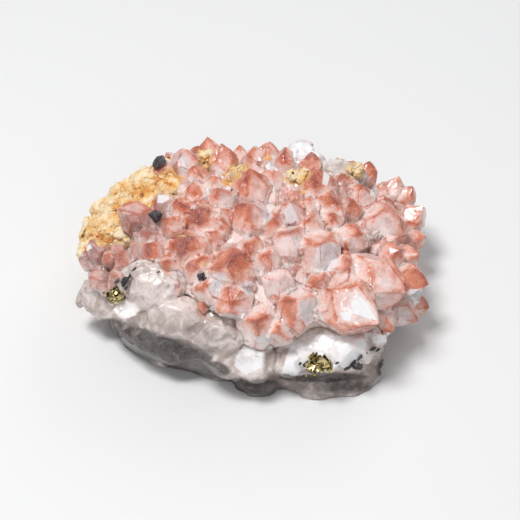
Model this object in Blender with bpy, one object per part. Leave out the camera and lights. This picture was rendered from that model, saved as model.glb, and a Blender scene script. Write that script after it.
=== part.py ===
"""A cluster of red quartz crystals on milky quartz matrix, with a yellow ochre crust and grains of pyrite.

The stone is a low dome on a flat broken base. Places on it are given as they are seen from its display
side: across and up a sheet that leans back through the middle of the stone, square to the line of sight.
Each place is carried along its line of sight until it meets the dome. Lengths are in millimetres.
"""

import math
import random
from collections import namedtuple

import bmesh
import bpy
from mathutils import Matrix, Quaternion, Vector, noise
from mathutils.bvhtree import BVHTree

MM = 0.001

# The dome under the crystals: its middle, how far it reaches to each side, and how square it is (2 is round)
DOME_MIDDLE = Vector((0.0, 3.0, 12.0))
DOME_LEFT = 50.0
DOME_RIGHT = 48.0
DOME_DEPTH = 38.0
DOME_RISE = 25.0
DOME_SINK = 22.0
ROUNDNESS = 2.3

# Under the crystals the rock is this much smaller than the dome, down to the rim, which dips to the front.
# It starts to come out to the dome that far below the rim, over a height of the second number.
SKIN = 5.0
RIM_HEIGHT = 12.0
RIM_SLOPE = Vector((-0.06, -0.10))
RIM_BLEND = (5.0, 4.0)
LUMP_SIZE = 13.0
LUMP_DEPTH = 2.2
SMALL_LUMP_SIZE = 5.0
SMALL_LUMP_SHARE = 0.4
COVERED_LUMP_SHARE = 0.3

GOLDEN_ANGLE = math.pi * (3.0 - math.sqrt(5.0))

# The display side
SHEET_TILT = math.radians(45.0)
SHEET_HEIGHT = 16.0
EYE_DISTANCE = 600.0
RIGHT = Vector((1.0, 0.0, 0.0))
UP_SHEET = Vector((0.0, math.sin(SHEET_TILT), math.cos(SHEET_TILT)))
TO_EYE = Vector((0.0, -math.cos(SHEET_TILT), math.sin(SHEET_TILT)))
SHEET_MIDDLE = Vector((0.0, 0.0, SHEET_HEIGHT))

# A line of sight is followed in these steps over this length to each side of the sheet
SIGHT_REACH = 60.0
SIGHT_STEP = 0.25
SLOPE_STEP = 0.2

# Quartz: the slope of the tip faces, and how much wider the prism is at its foot than under its tip
FACE_TO_AXIS = math.radians(51.8)
SIDES = 6
ROOT_DEPTH = 5.0
FOOT_FLARE = 1.06
SQUEEZE = (0.84, 1.0)

# Three tip faces lie a little lower than the tip and three a little higher, as shares of the width
LARGE_DROP = (0.0, 0.06)
SMALL_RISE = (0.03, 0.20)

# A crystal stands this far above the dome, plus a share of its width
LEAST_STAND = 1.5
STAND_SHARE = 0.62
SMALLEST_COSINE = 0.5

# Pieces that touch keep this gap
GAP = 0.3

# Faces of one piece that differ by less than this are one flat face, and no edge is shorter than this
FLAT_ANGLE = math.radians(0.2)
SHORTEST_EDGE = 0.001
SAME_POINT = 1e-6

Crystal = namedtuple("Crystal", "across up width lean_across lean_up stand spin", defaults=(1.0, None))

# Tips of the crystals on the sheet, the width of each, its lean as seen (0.7 up is upright), how far it
# stands proud as a multiple of its usual height, and the turn of its faces about its axis in degrees
BACK_ROW = [
    Crystal(-27.6, 33.4, 6.0, -0.30, 0.78, 1.6),
    Crystal(-20.7, 36.8, 9.0, -0.12, 0.84, 1.5),
    Crystal(-16.0, 37.2, 7.0, 0.05, 0.86, 1.2),
    Crystal(-8.7, 38.2, 9.6, -0.05, 0.88, 1.2, 0),
    Crystal(-3.6, 37.5, 5.0, 0.00, 0.90),
    Crystal(1.5, 37.5, 6.0, 0.10, 0.88, 1.2),
    Crystal(5.1, 37.2, 6.0, 0.00, 0.88, 1.2),
    Crystal(10.2, 36.9, 7.4, -0.08, 0.88, 1.2),
    Crystal(18.0, 35.6, 8.4, 0.00, 0.80, 1.2, 0),
    Crystal(26.0, 33.6, 6.0, 0.10, 0.86),
    Crystal(35.7, 32.7, 6.0, 0.15, 0.86),
    Crystal(40.2, 26.7, 6.0, 0.15, 0.82),
    Crystal(44.4, 28.2, 8.0, 0.25, 0.82),
    Crystal(48.6, 25.0, 6.0, 0.40, 0.74),
]
UPPER_ROW = [
    Crystal(-27.6, 30.9, 5.4, -0.30, 0.72),
    Crystal(-23.4, 30.6, 4.8, -0.15, 0.74),
    Crystal(-17.7, 31.2, 9.0, -0.20, 0.74),
    Crystal(-17.7, 26.7, 8.0, -0.20, 0.70),
    Crystal(-11.1, 28.2, 8.0, -0.05, 0.74),
    Crystal(-0.3, 30.6, 11.4, -0.05, 0.76, 1.2, 0),
    Crystal(6.6, 30.3, 8.4, 0.00, 0.74),
    Crystal(12.6, 29.4, 6.4, 0.00, 0.74),
    Crystal(19.8, 30.6, 11.6, 0.00, 0.74, 1.2, 30),
    Crystal(27.0, 29.1, 8.0, -0.20, 0.72),
    Crystal(27.6, 25.2, 6.0, 0.00, 0.66),
    Crystal(33.3, 25.8, 9.4, 0.05, 0.70),
    Crystal(40.2, 22.0, 7.0, 0.15, 0.62),
]
MIDDLE_ROW = [
    Crystal(-28.5, 22.8, 7.2, -0.40, 0.62, 1.2),
    Crystal(-22.5, 21.3, 8.0, -0.30, 0.62),
    Crystal(-9.6, 24.6, 9.2, -0.10, 0.66),
    Crystal(-15.3, 19.2, 10.8, -0.22, 0.60, 1.1, 20),
    Crystal(-9.0, 18.6, 8.0, -0.05, 0.56),
    Crystal(-0.3, 19.8, 11.2, -0.02, 0.58, 1.1, 0),
    Crystal(7.0, 15.6, 7.6, 0.05, 0.46),
    Crystal(11.7, 20.7, 9.4, 0.00, 0.60),
    Crystal(17.4, 22.0, 7.0, 0.00, 0.62),
    Crystal(23.4, 23.7, 9.2, 0.02, 0.64, 1.1, 30),
    Crystal(30.3, 21.3, 7.4, 0.15, 0.60),
    Crystal(18.6, 15.6, 8.0, 0.05, 0.50),
    Crystal(24.6, 16.8, 6.4, 0.05, 0.50),
    Crystal(33.0, 11.7, 9.0, 0.34, 0.36, 1.1),
    Crystal(42.3, 19.2, 13.4, 0.22, 0.56, 1.0, 10),
    Crystal(51.9, 18.9, 8.4, 0.52, 0.60),
    Crystal(52.8, 10.0, 6.0, 0.74, 0.30),
    Crystal(45.0, 6.3, 8.0, 0.46, 0.40),
    Crystal(50.7, 4.8, 7.0, 0.70, 0.20),
]
LEFT_GROUP = [
    Crystal(-51.3, 12.0, 5.6, -0.72, 0.48),
    Crystal(-48.9, 8.4, 7.2, -0.50, 0.58, 1.1),
    Crystal(-52.0, 3.2, 6.0, -0.84, 0.20),
    Crystal(-40.2, 18.3, 10.0, -0.76, 0.44, 1.2, 0),
    Crystal(-34.5, 17.4, 7.0, -0.55, 0.50),
    Crystal(-44.1, 5.1, 5.0, -0.50, 0.50),
    Crystal(-39.9, 5.4, 7.6, -0.42, 0.52),
    Crystal(-35.4, 8.4, 7.0, -0.35, 0.55),
    Crystal(-31.5, 7.8, 7.0, -0.30, 0.52),
    Crystal(-33.0, 12.0, 6.0, -0.40, 0.54),
    Crystal(-25.5, 15.6, 7.0, -0.35, 0.52),
    Crystal(-20.1, 10.5, 12.4, -0.22, 0.54, 1.0, 15),
    Crystal(-26.4, 2.4, 7.0, -0.25, 0.35),
    Crystal(-48.9, -2.4, 6.0, -0.66, 0.22),
    Crystal(-42.3, -1.2, 8.4, -0.48, 0.40),
    Crystal(-12.3, 11.4, 6.8, -0.15, 0.50),
    Crystal(-10.2, 16.2, 7.6, -0.08, 0.54),
]
FRONT_GROUP = [
    Crystal(-0.3, 8.1, 8.4, -0.05, 0.40),
    Crystal(5.0, 4.5, 8.0, 0.00, 0.30),
    Crystal(11.7, 11.4, 10.6, -0.05, 0.46),
    Crystal(21.0, 7.4, 15.4, 0.05, 0.28, 0.8, 0),
    Crystal(-7.8, 0.9, 14.8, -0.12, 0.22, 0.9, 45),
    Crystal(-17.4, 2.4, 9.0, -0.25, 0.34),
    Crystal(-14.7, -6.0, 8.6, -0.25, 0.05),
    Crystal(-6.0, -13.0, 11.0, -0.10, -0.40, 0.9),
    Crystal(8.4, -3.0, 9.0, 0.00, 0.20),
    Crystal(14.4, -9.3, 13.0, 0.05, 0.25, 0.9, 0),
    Crystal(1.5, -15.9, 13.0, -0.05, 0.10, 0.8, 15),
    Crystal(8.0, -19.0, 9.6, 0.00, -0.10, 0.8),
    Crystal(22.5, -4.0, 9.4, 0.10, 0.15),
    Crystal(30.0, 0.6, 10.0, 0.25, 0.20),
    Crystal(24.0, -12.0, 11.0, 0.15, -0.05, 0.8),
    Crystal(38.7, -16.2, 16.0, 0.64, -0.36, 1.2, 30),
    Crystal(37.5, -2.4, 9.0, 0.45, 0.00),
    Crystal(46.8, -6.9, 14.6, 0.74, -0.22, 1.2, 0),
    Crystal(53.7, -4.5, 10.0, 0.88, -0.16, 1.1),
    Crystal(54.0, -11.7, 8.6, 0.90, -0.12),
    Crystal(50.4, -15.9, 8.0, 0.74, -0.42),
    Crystal(43.0, -18.6, 8.0, 0.50, -0.52),
]
LISTED = BACK_ROW + UPPER_ROW + MIDDLE_ROW + LEFT_GROUP + FRONT_GROUP

# Small crystals that fill the dome between the listed ones and go round its back
FILL_STEP = 2.2
FILL_WIDTH = (8.0, 11.5)
FILL_SPACING = 0.61
FILL_HEIGHT = (0.7, 1.2)
FILL_SEED = 11
FIRST_FILL = 1000

# Fill crystals lean away from this place deep in the rock, and a little at random
FOCUS = Vector((6.0, 6.0, -8.0))
FOCUS_SHARE = 0.5
WANDER = 0.3

Lump = namedtuple("Lump", "name across up wide deep tall turn proud")

# Lumps of milky quartz that stand out of the rock: the middle as seen on the sheet, the size, the turn about
# the vertical in degrees, and how far the middle lies outside the dome
LUMPS = [
    Lump("frosted_block", -29.0, -5.4, 20.0, 15.0, 14.0, -30.0, -2.5),
    Lump("frosted_lobe", -23.5, -14.0, 18.0, 14.0, 13.0, -22.0, -2.5),
    Lump("left_cube", -37.3, -12.3, 11.0, 9.0, 8.0, -35.0, -1.0),
    Lump("left_base", -43.0, -7.8, 15.0, 19.0, 18.0, -40.0, -5.6),
    Lump("grey_shelf", -12.0, -19.0, 20.0, 13.0, 11.0, -12.0, -3.0),
    Lump("smooth_lump", -8.0, -26.6, 16.0, 13.0, 12.0, -15.0, -1.5),
    Lump("sparkling_lump", 1.6, -27.6, 14.0, 13.0, 12.0, 5.0, 0.0),
    Lump("front_ledge", 23.0, -24.0, 30.0, 17.0, 13.0, 3.0, -1.5),
    Lump("front_notch", 11.0, -28.0, 13.0, 11.0, 10.0, -5.0, -0.5),
    Lump("right_tooth", 37.0, -19.5, 10.0, 10.0, 9.0, 35.0, -1.0),
    Lump("right_foot", 35.0, -24.4, 11.0, 13.0, 15.0, 35.0, -2.6),
    Lump("front_foot", 24.6, -32.5, 29.0, 15.0, 12.0, 5.0, -1.0),
    Lump("middle_foot", 2.7, -34.0, 16.0, 11.0, 10.0, 0.0, -2.0),
    Lump("left_foot", -26.6, -20.8, 27.0, 14.0, 13.0, -24.0, -5.2),
    Lump("back_knob", 15.6, 30.4, 12.0, 14.0, 15.0, -5.0, 0.0),
    Lump("back_shoulder", 26.5, 26.0, 16.0, 13.0, 14.0, -20.0, -0.5),
]
LUMP_SIDES = 7
LUMP_RINGS = 5
LUMP_CUTS = 5
LUMP_KEEP = 0.8
BULGE = 1.08
BULGE_DEPTH = 0.20
BULGE_RATE = 1.7

# The limonite: where the yellow crust lies on the upper left slope, as a line round it on the sheet
OCHRE_OUTLINE = [
    (-54.0, 9.0), (-45.0, 21.0), (-40.0, 27.0), (-34.0, 30.5), (-27.0, 36.0), (-18.0, 38.0),
    (-19.5, 31.0), (-24.0, 24.0), (-30.0, 17.5), (-36.0, 13.0), (-43.0, 8.0), (-46.0, 3.0),
]
OCHRE_BEHIND = Vector((-26.0, 8.0, 20.0))
OCHRE_SPACING = 9.4
OCHRE_RADIUS = (5.6, 7.2)
OCHRE_STAND = 5.0
OCHRE_GAP = 1.3 * GAP
OCHRE_SEED = 5

Patch = namedtuple("Patch", "name across up wide high grains")

# Smaller patches of it between the crystals
OCHRE_PATCHES = [
    Patch("ochre_patch_back", -13.6, 32.4, 3.6, 5.0, 4),
    Patch("ochre_patch_middle", -4.8, 27.9, 4.0, 6.0, 5),
    Patch("ochre_patch_right", 15.3, 28.5, 5.5, 4.0, 5),
    Patch("ochre_patch_far_right", 30.6, 28.8, 5.0, 4.0, 4),
]
PATCH_BALL = (1.5, 2.1)

# Pyrite: clusters of small cubes grown into the rock
PYRITE_PATCHES = [
    Patch("pyrite_left", -41.2, -7.8, 5.0, 3.2, 6),
    Patch("pyrite_front", 20.4, -28.2, 8.4, 3.6, 8),
]
PYRITE_CUBE = (1.5, 2.4)
PYRITE_STAND = 0.12

Grain = namedtuple("Grain", "name across up wide deep tall turn")

# Dark grains of ore on the rock and between the crystals
DARK_GRAINS = [
    Grain("dark_grain_back", -27.4, 31.8, 3.6, 3.0, 3.0, 20.0),
    Grain("dark_grain_slope", -28.8, 15.6, 3.2, 2.6, 2.8, -30.0),
    Grain("dark_grain_left", -37.0, -3.4, 2.4, 2.2, 3.0, 45.0),
    Grain("dark_grain_middle", -14.6, -2.9, 2.0, 1.9, 3.4, 10.0),
    Grain("dark_grain_ledge", 31.2, -28.6, 4.4, 1.6, 1.8, -20.0),
]
GRAIN_CUTS = 5
GRAIN_KEEP = 0.9
GRAIN_STAND = 0.3


def on_sheet(across, up):
    return SHEET_MIDDLE + across * RIGHT + up * UP_SHEET


def dome_level(point, grow):
    """1 on the dome once each of its radii has grown by that much, less inside it and more outside."""
    offset = point - DOME_MIDDLE
    across = abs(offset.x) / ((DOME_LEFT if offset.x < 0 else DOME_RIGHT) + grow)
    back = abs(offset.y) / (DOME_DEPTH + grow)
    height = abs(offset.z) / ((DOME_RISE if offset.z > 0 else DOME_SINK) + grow)
    return (across**ROUNDNESS + back**ROUNDNESS + height**ROUNDNESS) ** (1.0 / ROUNDNESS)


def meet_dome(across, up, grow):
    """Where the line of sight through a place on the sheet meets the grown dome, or passes nearest to it."""
    eye = SHEET_MIDDLE + EYE_DISTANCE * TO_EYE
    line = (on_sheet(across, up) - eye).normalized()
    steps = [EYE_DISTANCE - SIGHT_REACH + SIGHT_STEP * i for i in range(int(2 * SIGHT_REACH / SIGHT_STEP))]
    levels = [(dome_level(eye + line * t, grow), t) for t in steps]
    inside = [t for level, t in levels if level <= 1.0]
    return eye + line * (inside[0] if inside else min(levels)[1])


def dome_normal(point, grow):
    steps = (Vector((SLOPE_STEP, 0, 0)), Vector((0, SLOPE_STEP, 0)), Vector((0, 0, SLOPE_STEP)))
    slope = [dome_level(point + step, grow) - dome_level(point - step, grow) for step in steps]
    return Vector(slope).normalized()


def cut(bm, point, normal):
    """Takes off what lies beyond a plane and closes the cut with one flat face."""
    everything = bm.verts[:] + bm.edges[:] + bm.faces[:]
    bmesh.ops.bisect_plane(
        bm, geom=everything, dist=SAME_POINT, plane_co=point, plane_no=normal, clear_outer=True
    )
    rim = [edge for edge in bm.edges if edge.is_boundary]
    if rim:
        bmesh.ops.contextual_create(bm, geom=rim)


def new_object(name, bm, collection):
    bmesh.ops.recalc_face_normals(bm, faces=bm.faces)
    bmesh.ops.scale(bm, verts=bm.verts, vec=(MM, MM, MM))
    mesh = bpy.data.meshes.new(name)
    bm.to_mesh(mesh)
    bm.free()
    obj = bpy.data.objects.new(name, mesh)
    collection.objects.link(obj)
    return obj


def crystal_solid(name, tip, axis, width, length, spin, rng, grow, collection):
    """A six-sided prism with three large tip faces and three small ones, grown outwards by grow."""
    bm = bmesh.new()
    radius = width / math.sqrt(3.0) + grow
    foot = radius * FOOT_FLARE
    bmesh.ops.create_cone(
        bm, cap_ends=True, segments=SIDES, radius1=foot, radius2=radius, depth=length + 2 * grow
    )
    bmesh.ops.translate(bm, verts=bm.verts, vec=(0, 0, -length / 2))
    bmesh.ops.scale(bm, verts=bm.verts, vec=(rng.uniform(*SQUEEZE), 1.0, 1.0))
    for side in range(SIDES):
        turn = math.pi * (2 * side + 1) / SIDES
        normal = Vector((math.cos(turn), math.sin(turn), 0)) * math.sin(FACE_TO_AXIS)
        normal.z = math.cos(FACE_TO_AXIS)
        large = side % 2 == 1
        rise = -rng.uniform(*LARGE_DROP) if large else rng.uniform(*SMALL_RISE)
        cut(bm, Vector((0, 0, rise * width)) + grow * normal, normal)
    frame = axis.to_track_quat("Z", "Y").to_matrix().to_4x4()
    place = Matrix.Translation(tip) @ frame @ Matrix.Rotation(math.radians(spin), 4, "Z")
    bmesh.ops.transform(bm, verts=bm.verts, matrix=place)
    return new_object(name, bm, collection)


def crystal_height(crystal):
    return crystal.stand * (LEAST_STAND + STAND_SHARE * crystal.width)


def crystal_axis(crystal):
    lean = crystal.lean_across * RIGHT + crystal.lean_up * UP_SHEET
    return (lean + TO_EYE * math.sqrt(1.0 - lean.length_squared)).normalized()


def listed_crystal(name, crystal, seed, grow, collection):
    rng = random.Random(seed)
    height = crystal_height(crystal)
    tip = meet_dome(crystal.across, crystal.up, height)
    out = dome_normal(tip, height)
    axis = crystal_axis(crystal)
    length = height / max(axis.dot(out), SMALLEST_COSINE) + ROOT_DEPTH
    spin = rng.uniform(0, 60) if crystal.spin is None else crystal.spin
    return crystal_solid(name, tip, axis, crystal.width, length, spin, rng, grow, collection)


def dome_places(spacing):
    """Places spread evenly over the upper dome by the golden angle, about spacing apart."""
    count = int(4.0 * math.pi * DOME_LEFT * DOME_DEPTH / spacing**2)
    for number in range(count):
        climb = 1.0 - (number + 0.5) / count
        turn = number * GOLDEN_ANGLE
        level = math.sqrt(1.0 - climb**2)
        ray = Vector((math.cos(turn) * level, math.sin(turn) * level, climb))
        yield DOME_MIDDLE + ray / dome_level(DOME_MIDDLE + ray, 0.0)


def seen_at(point):
    """The place on the sheet where a point of the stone is seen."""
    eye = SHEET_MIDDLE + EYE_DISTANCE * TO_EYE
    line = point - eye
    offset = eye + line * (EYE_DISTANCE / -line.dot(TO_EYE)) - SHEET_MIDDLE
    return offset.dot(RIGHT), offset.dot(UP_SHEET)


def under_ochre(foot):
    """Whether limonite covers the dome there: on the upper left slope and on behind it."""
    if inside_outline(*seen_at(foot), OCHRE_OUTLINE):
        return foot.z > rim_level(foot)
    return OCHRE_BEHIND.x > foot.x and foot.y > OCHRE_BEHIND.y and foot.z > OCHRE_BEHIND.z


def fill_places():
    """Places on the dome for small crystals, kept apart from the others, the bare rock and the limonite."""
    rng = random.Random(FILL_SEED)
    taken = [(meet_dome(lump.across, lump.up, 0.0), lump.wide) for lump in LUMPS]
    for crystal in LISTED:
        height = crystal_height(crystal)
        tip = meet_dome(crystal.across, crystal.up, height)
        taken.append((tip - crystal_axis(crystal) * height, crystal.width))
    places = []
    for foot in dome_places(FILL_STEP):
        width = rng.uniform(*FILL_WIDTH)
        clear = all((foot - other).length > FILL_SPACING * (width + wide) for other, wide in taken)
        if clear and foot.z > rim_level(foot) and not under_ochre(foot):
            taken.append((foot, width))
            places.append((foot, width))
    return places


def fill_crystal(name, foot, width, seed, grow, collection):
    rng = random.Random(seed)
    out = dome_normal(foot, 0.0)
    wander = Vector([rng.uniform(-WANDER, WANDER) for _ in range(3)])
    axis = (out + FOCUS_SHARE * (foot - FOCUS).normalized() + wander).normalized()
    height = rng.uniform(*FILL_HEIGHT) * width
    spin = rng.uniform(0, 60)
    length = height + ROOT_DEPTH
    tip = foot + axis * height
    return crystal_solid(name, tip, axis, width, length, spin, rng, grow, collection)


def chisel(bm, rng, half, cuts, keep, grow):
    """Breaks flat faces off a lump at random, none nearer its middle than keep of its reach that way."""
    for _ in range(cuts):
        normal = Vector([rng.uniform(-1.0, 1.0) / h for h in half]).normalized()
        reach = math.sqrt(sum((n * h) ** 2 for n, h in zip(normal, half)))
        cut(bm, normal * (reach * rng.uniform(keep, 0.5 + keep / 2) + grow), normal)


def lump_solid(lump, grow, collection):
    """A rounded lump with flat breaks."""
    rng = random.Random(lump.name)
    bm = bmesh.new()
    bmesh.ops.create_uvsphere(bm, u_segments=LUMP_SIDES, v_segments=LUMP_RINGS, radius=1.0)
    half = Vector((lump.wide, lump.deep, lump.tall)) / 2
    for vert in bm.verts:
        own_place = Vector((lump.across, lump.up, 0))
        bulge = BULGE + BULGE_DEPTH * noise.noise(vert.co * BULGE_RATE + own_place)
        square = max(abs(vert.co.x), abs(vert.co.y), abs(vert.co.z)) ** 0.5
        vert.co = Vector([c * (h * bulge / square + grow) for c, h in zip(vert.co, half)])
    bmesh.ops.triangulate(bm, faces=bm.faces, quad_method="FIXED")
    chisel(bm, rng, half, LUMP_CUTS, LUMP_KEEP, grow)
    place = Matrix.Translation(meet_dome(lump.across, lump.up, lump.proud)) @ Matrix.Rotation(
        math.radians(lump.turn), 4, "Z"
    )
    bmesh.ops.transform(bm, verts=bm.verts, matrix=place)
    return new_object(lump.name, bm, collection)


def rim_level(point):
    """The height down to which the crust of crystals reaches, at a place seen from above."""
    return RIM_HEIGHT + RIM_SLOPE.dot(point.xy - DOME_MIDDLE.xy)


def ball_on_dome(divisions, reach):
    """A ball whose points are moved out to a distance that reach gives for each direction."""
    bm = bmesh.new()
    bmesh.ops.create_icosphere(bm, subdivisions=divisions, radius=1.0)
    for vert in bm.verts:
        ray = vert.co.normalized()
        vert.co = DOME_MIDDLE + ray * reach(ray)
    return bm


def crust_floor(name, grow, collection):
    """The dome that the crystals stand on, above the rim."""
    bm = ball_on_dome(2, lambda ray: 1.0 / dome_level(DOME_MIDDLE + ray, grow))
    cut(bm, Vector((*DOME_MIDDLE.xy, RIM_HEIGHT)), Vector((*RIM_SLOPE, -1.0)).normalized())
    return new_object(name, bm, collection)


def rock_body(name, grow, collection):
    """The lumpy rock: under the crystals it is smaller than the dome, and below the rim it comes out to it."""

    def reach(ray):
        full = 1.0 / dome_level(DOME_MIDDLE + ray, 0.0)
        edge = DOME_MIDDLE + ray * full
        below_rim, height = RIM_BLEND
        above = min(max((edge.z - rim_level(edge) + below_rim) / height, 0.0), 1.0)
        lump = noise.noise(edge / LUMP_SIZE) + SMALL_LUMP_SHARE * noise.noise(edge / SMALL_LUMP_SIZE)
        depth = LUMP_DEPTH * (1.0 + (COVERED_LUMP_SHARE - 1.0) * above)
        return full - SKIN * above + depth * lump + grow

    return new_object(name, ball_on_dome(3, reach), collection)


def boolean(obj, name, operation, others):
    """Joins the object with the others, or cuts it with them. The others are an object or a collection."""
    step = obj.modifiers.new(name, "BOOLEAN")
    step.operation = operation
    step.solver = "EXACT"
    if isinstance(others, bpy.types.Object):
        step.object = others
    else:
        step.operand_type = "COLLECTION"
        step.collection = others


def helpers(name):
    """A collection of shapes that only join or cut others."""
    collection = bpy.data.collections.new(name)
    collection.hide_render = True
    bpy.context.scene.collection.children.link(collection)
    return collection


def show_as_wire():
    for collection in bpy.data.collections:
        if collection.hide_render:
            for obj in collection.objects:
                obj.hide_render = True
                obj.display_type = "WIRE"


def settle(obj):
    """Gives the object the mesh that its modifiers make, without the crumbs that the cuts left."""
    graph = bpy.context.evaluated_depsgraph_get()
    bm = bmesh.new()
    bm.from_object(obj, graph)
    bmesh.ops.remove_doubles(bm, verts=bm.verts, dist=SAME_POINT)
    keep_largest(bm)
    bmesh.ops.dissolve_limit(bm, angle_limit=FLAT_ANGLE, verts=bm.verts, edges=bm.edges)
    bmesh.ops.dissolve_degenerate(bm, edges=bm.edges, dist=SHORTEST_EDGE * MM)
    obj.modifiers.clear()
    bm.to_mesh(obj.data)
    bm.free()


def keep_largest(bm):
    """Keeps only the largest set of faces that meet along edges."""
    waiting = set(bm.faces)
    islands = []
    while waiting:
        island = [waiting.pop()]
        for face in island:
            for edge in face.edges:
                for other in edge.link_faces:
                    if other in waiting:
                        waiting.remove(other)
                        island.append(other)
        islands.append(island)
    islands.sort(key=len)
    crumbs = [face for island in islands[:-1] for face in island]
    bmesh.ops.delete(bm, geom=crumbs, context="FACES")


def material(name, color, roughness, metallic=0.0):
    made = bpy.data.materials.new(name)
    made.use_nodes = True
    shader = made.node_tree.nodes["Principled BSDF"]
    shader.inputs["Base Color"].default_value = (*color, 1.0)
    shader.inputs["Roughness"].default_value = roughness
    shader.inputs["Metallic"].default_value = metallic
    return made


def lie_flat(obj):
    """Saws the rock off at the level it stands on."""
    bm = bmesh.new()
    bm.from_mesh(obj.data)
    cut(bm, Vector((0, 0, 0)), Vector((0, 0, -1)))
    keep_largest(bm)
    bm.to_mesh(obj.data)
    bm.free()


def surface_of(objects):
    """What sight lines meet, in millimetres."""
    bm = bmesh.new()
    for obj in objects:
        bm.from_mesh(obj.data)
    bmesh.ops.scale(bm, verts=bm.verts, vec=(1 / MM, 1 / MM, 1 / MM))
    tree = BVHTree.FromBMesh(bm)
    bm.free()
    return tree


def meet_surface(tree, across, up):
    """The first point of the stone on the line of sight through a place on the sheet, and its normal.

    A line that passes the stone by gives the point of the dome nearest to it.
    """
    eye = SHEET_MIDDLE + EYE_DISTANCE * TO_EYE
    line = (on_sheet(across, up) - eye).normalized()
    point, normal, _, _ = tree.ray_cast(eye, line)
    if point is None:
        point = meet_dome(across, up, 0.0)
        normal = dome_normal(point, 0.0)
    return point, normal


def inside_outline(across, up, outline):
    crossings = 0
    for (a1, u1), (a2, u2) in zip(outline, outline[1:] + outline[:1]):
        if (u1 > up) != (u2 > up) and across < a1 + (up - u1) * (a2 - a1) / (u2 - u1):
            crossings += 1
    return crossings % 2 == 1


def paint(objects, look):
    for obj in objects:
        obj.data.materials.clear()
        obj.data.materials.append(look)


def any_turn(rng):
    return Quaternion([rng.gauss(0, 1) for _ in range(4)]).normalized().to_matrix().to_4x4()


def ochre_ball(middle, radius, turn, collection):
    bm = bmesh.new()
    bmesh.ops.create_icosphere(bm, subdivisions=1, radius=radius)
    bmesh.ops.transform(bm, verts=bm.verts, matrix=Matrix.Translation(middle) @ turn)
    return new_object("ochre_ball", bm, collection)


def ochre_crust(name, grow, collection):
    """Balls of limonite side by side, joined to one crust."""
    rng = random.Random(OCHRE_SEED)
    balls = helpers(name + "_balls")
    made = []
    for foot in dome_places(OCHRE_SPACING):
        radius = rng.uniform(*OCHRE_RADIUS)
        turn = any_turn(rng)
        if under_ochre(foot):
            middle = foot + dome_normal(foot, 0.0) * (OCHRE_STAND - radius)
            made.append(ochre_ball(middle, radius + grow, turn, balls))
    return first_joined(made, name, balls, collection)


def first_joined(made, name, others, collection):
    """Makes the first object the visible one, which the others are joined to."""
    first = made[0]
    others.objects.unlink(first)
    collection.objects.link(first)
    first.name = name
    boolean(first, "join", "UNION", others)
    return first


def patch_places(patch, tree):
    """Points of the stone, and their normals, spread evenly over an oval patch of the sheet."""
    for number in range(patch.grains):
        turn = number * GOLDEN_ANGLE
        share = math.sqrt((number + 0.5) / patch.grains) / 2
        across = patch.across + patch.wide * share * math.cos(turn)
        up = patch.up + patch.high * share * math.sin(turn)
        yield meet_surface(tree, across, up)


def ochre_patch(patch, tree, collection):
    """A few small balls of limonite in the hollows between the crystals."""
    rng = random.Random(patch.name)
    balls = helpers(patch.name + "_balls")
    made = [
        ochre_ball(point, rng.uniform(*PATCH_BALL), any_turn(rng), balls)
        for point, _ in patch_places(patch, tree)
    ]
    return first_joined(made, patch.name, balls, collection)


def pyrite_cluster(patch, tree, collection):
    """Small cubes grown through each other, a little way into the rock."""
    rng = random.Random(patch.name)
    cubes = helpers(patch.name + "_cubes")
    made = []
    for point, normal in patch_places(patch, tree):
        size = rng.uniform(*PYRITE_CUBE)
        bm = bmesh.new()
        bmesh.ops.create_cube(bm, size=size)
        place = Matrix.Translation(point + normal * (GAP + PYRITE_STAND * size)) @ any_turn(rng)
        bmesh.ops.transform(bm, verts=bm.verts, matrix=place)
        made.append(new_object(f"{patch.name}_cube", bm, cubes))
    return first_joined(made, patch.name, cubes, collection)


def dark_grain(grain, tree, collection):
    """One angular grain, set down on whatever the line of sight meets there."""
    rng = random.Random(grain.name)
    bm = bmesh.new()
    bmesh.ops.create_cube(bm, size=1.0)
    half = Vector((grain.wide, grain.deep, grain.tall)) / 2
    bmesh.ops.scale(bm, verts=bm.verts, vec=2 * half)
    chisel(bm, rng, half, GRAIN_CUTS, GRAIN_KEEP, 0.0)
    point, normal = meet_surface(tree, grain.across, grain.up)
    turn = Matrix.Rotation(math.radians(grain.turn), 4, "Z")
    place = Matrix.Translation(point + normal * GRAIN_STAND) @ turn
    bmesh.ops.transform(bm, verts=bm.verts, matrix=place)
    return new_object(grain.name, bm, collection)


def stand_on_origin(objects):
    """Moves the stone so that the middle of its base lies at the origin."""
    corners = [corner.co for obj in objects for corner in obj.data.vertices]
    low = Vector([min(c[i] for c in corners) for i in range(3)])
    high = Vector([max(c[i] for c in corners) for i in range(3)])
    middle = (low + high) / 2
    for obj in objects:
        obj.data.transform(Matrix.Translation((-middle.x, -middle.y, -low.z)))


def clear_and_settle(objects, *cutters):
    for obj in objects:
        for cutter in cutters:
            boolean(obj, "clear_of_" + cutter.name, "DIFFERENCE", cutter)
        settle(obj)


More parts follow.
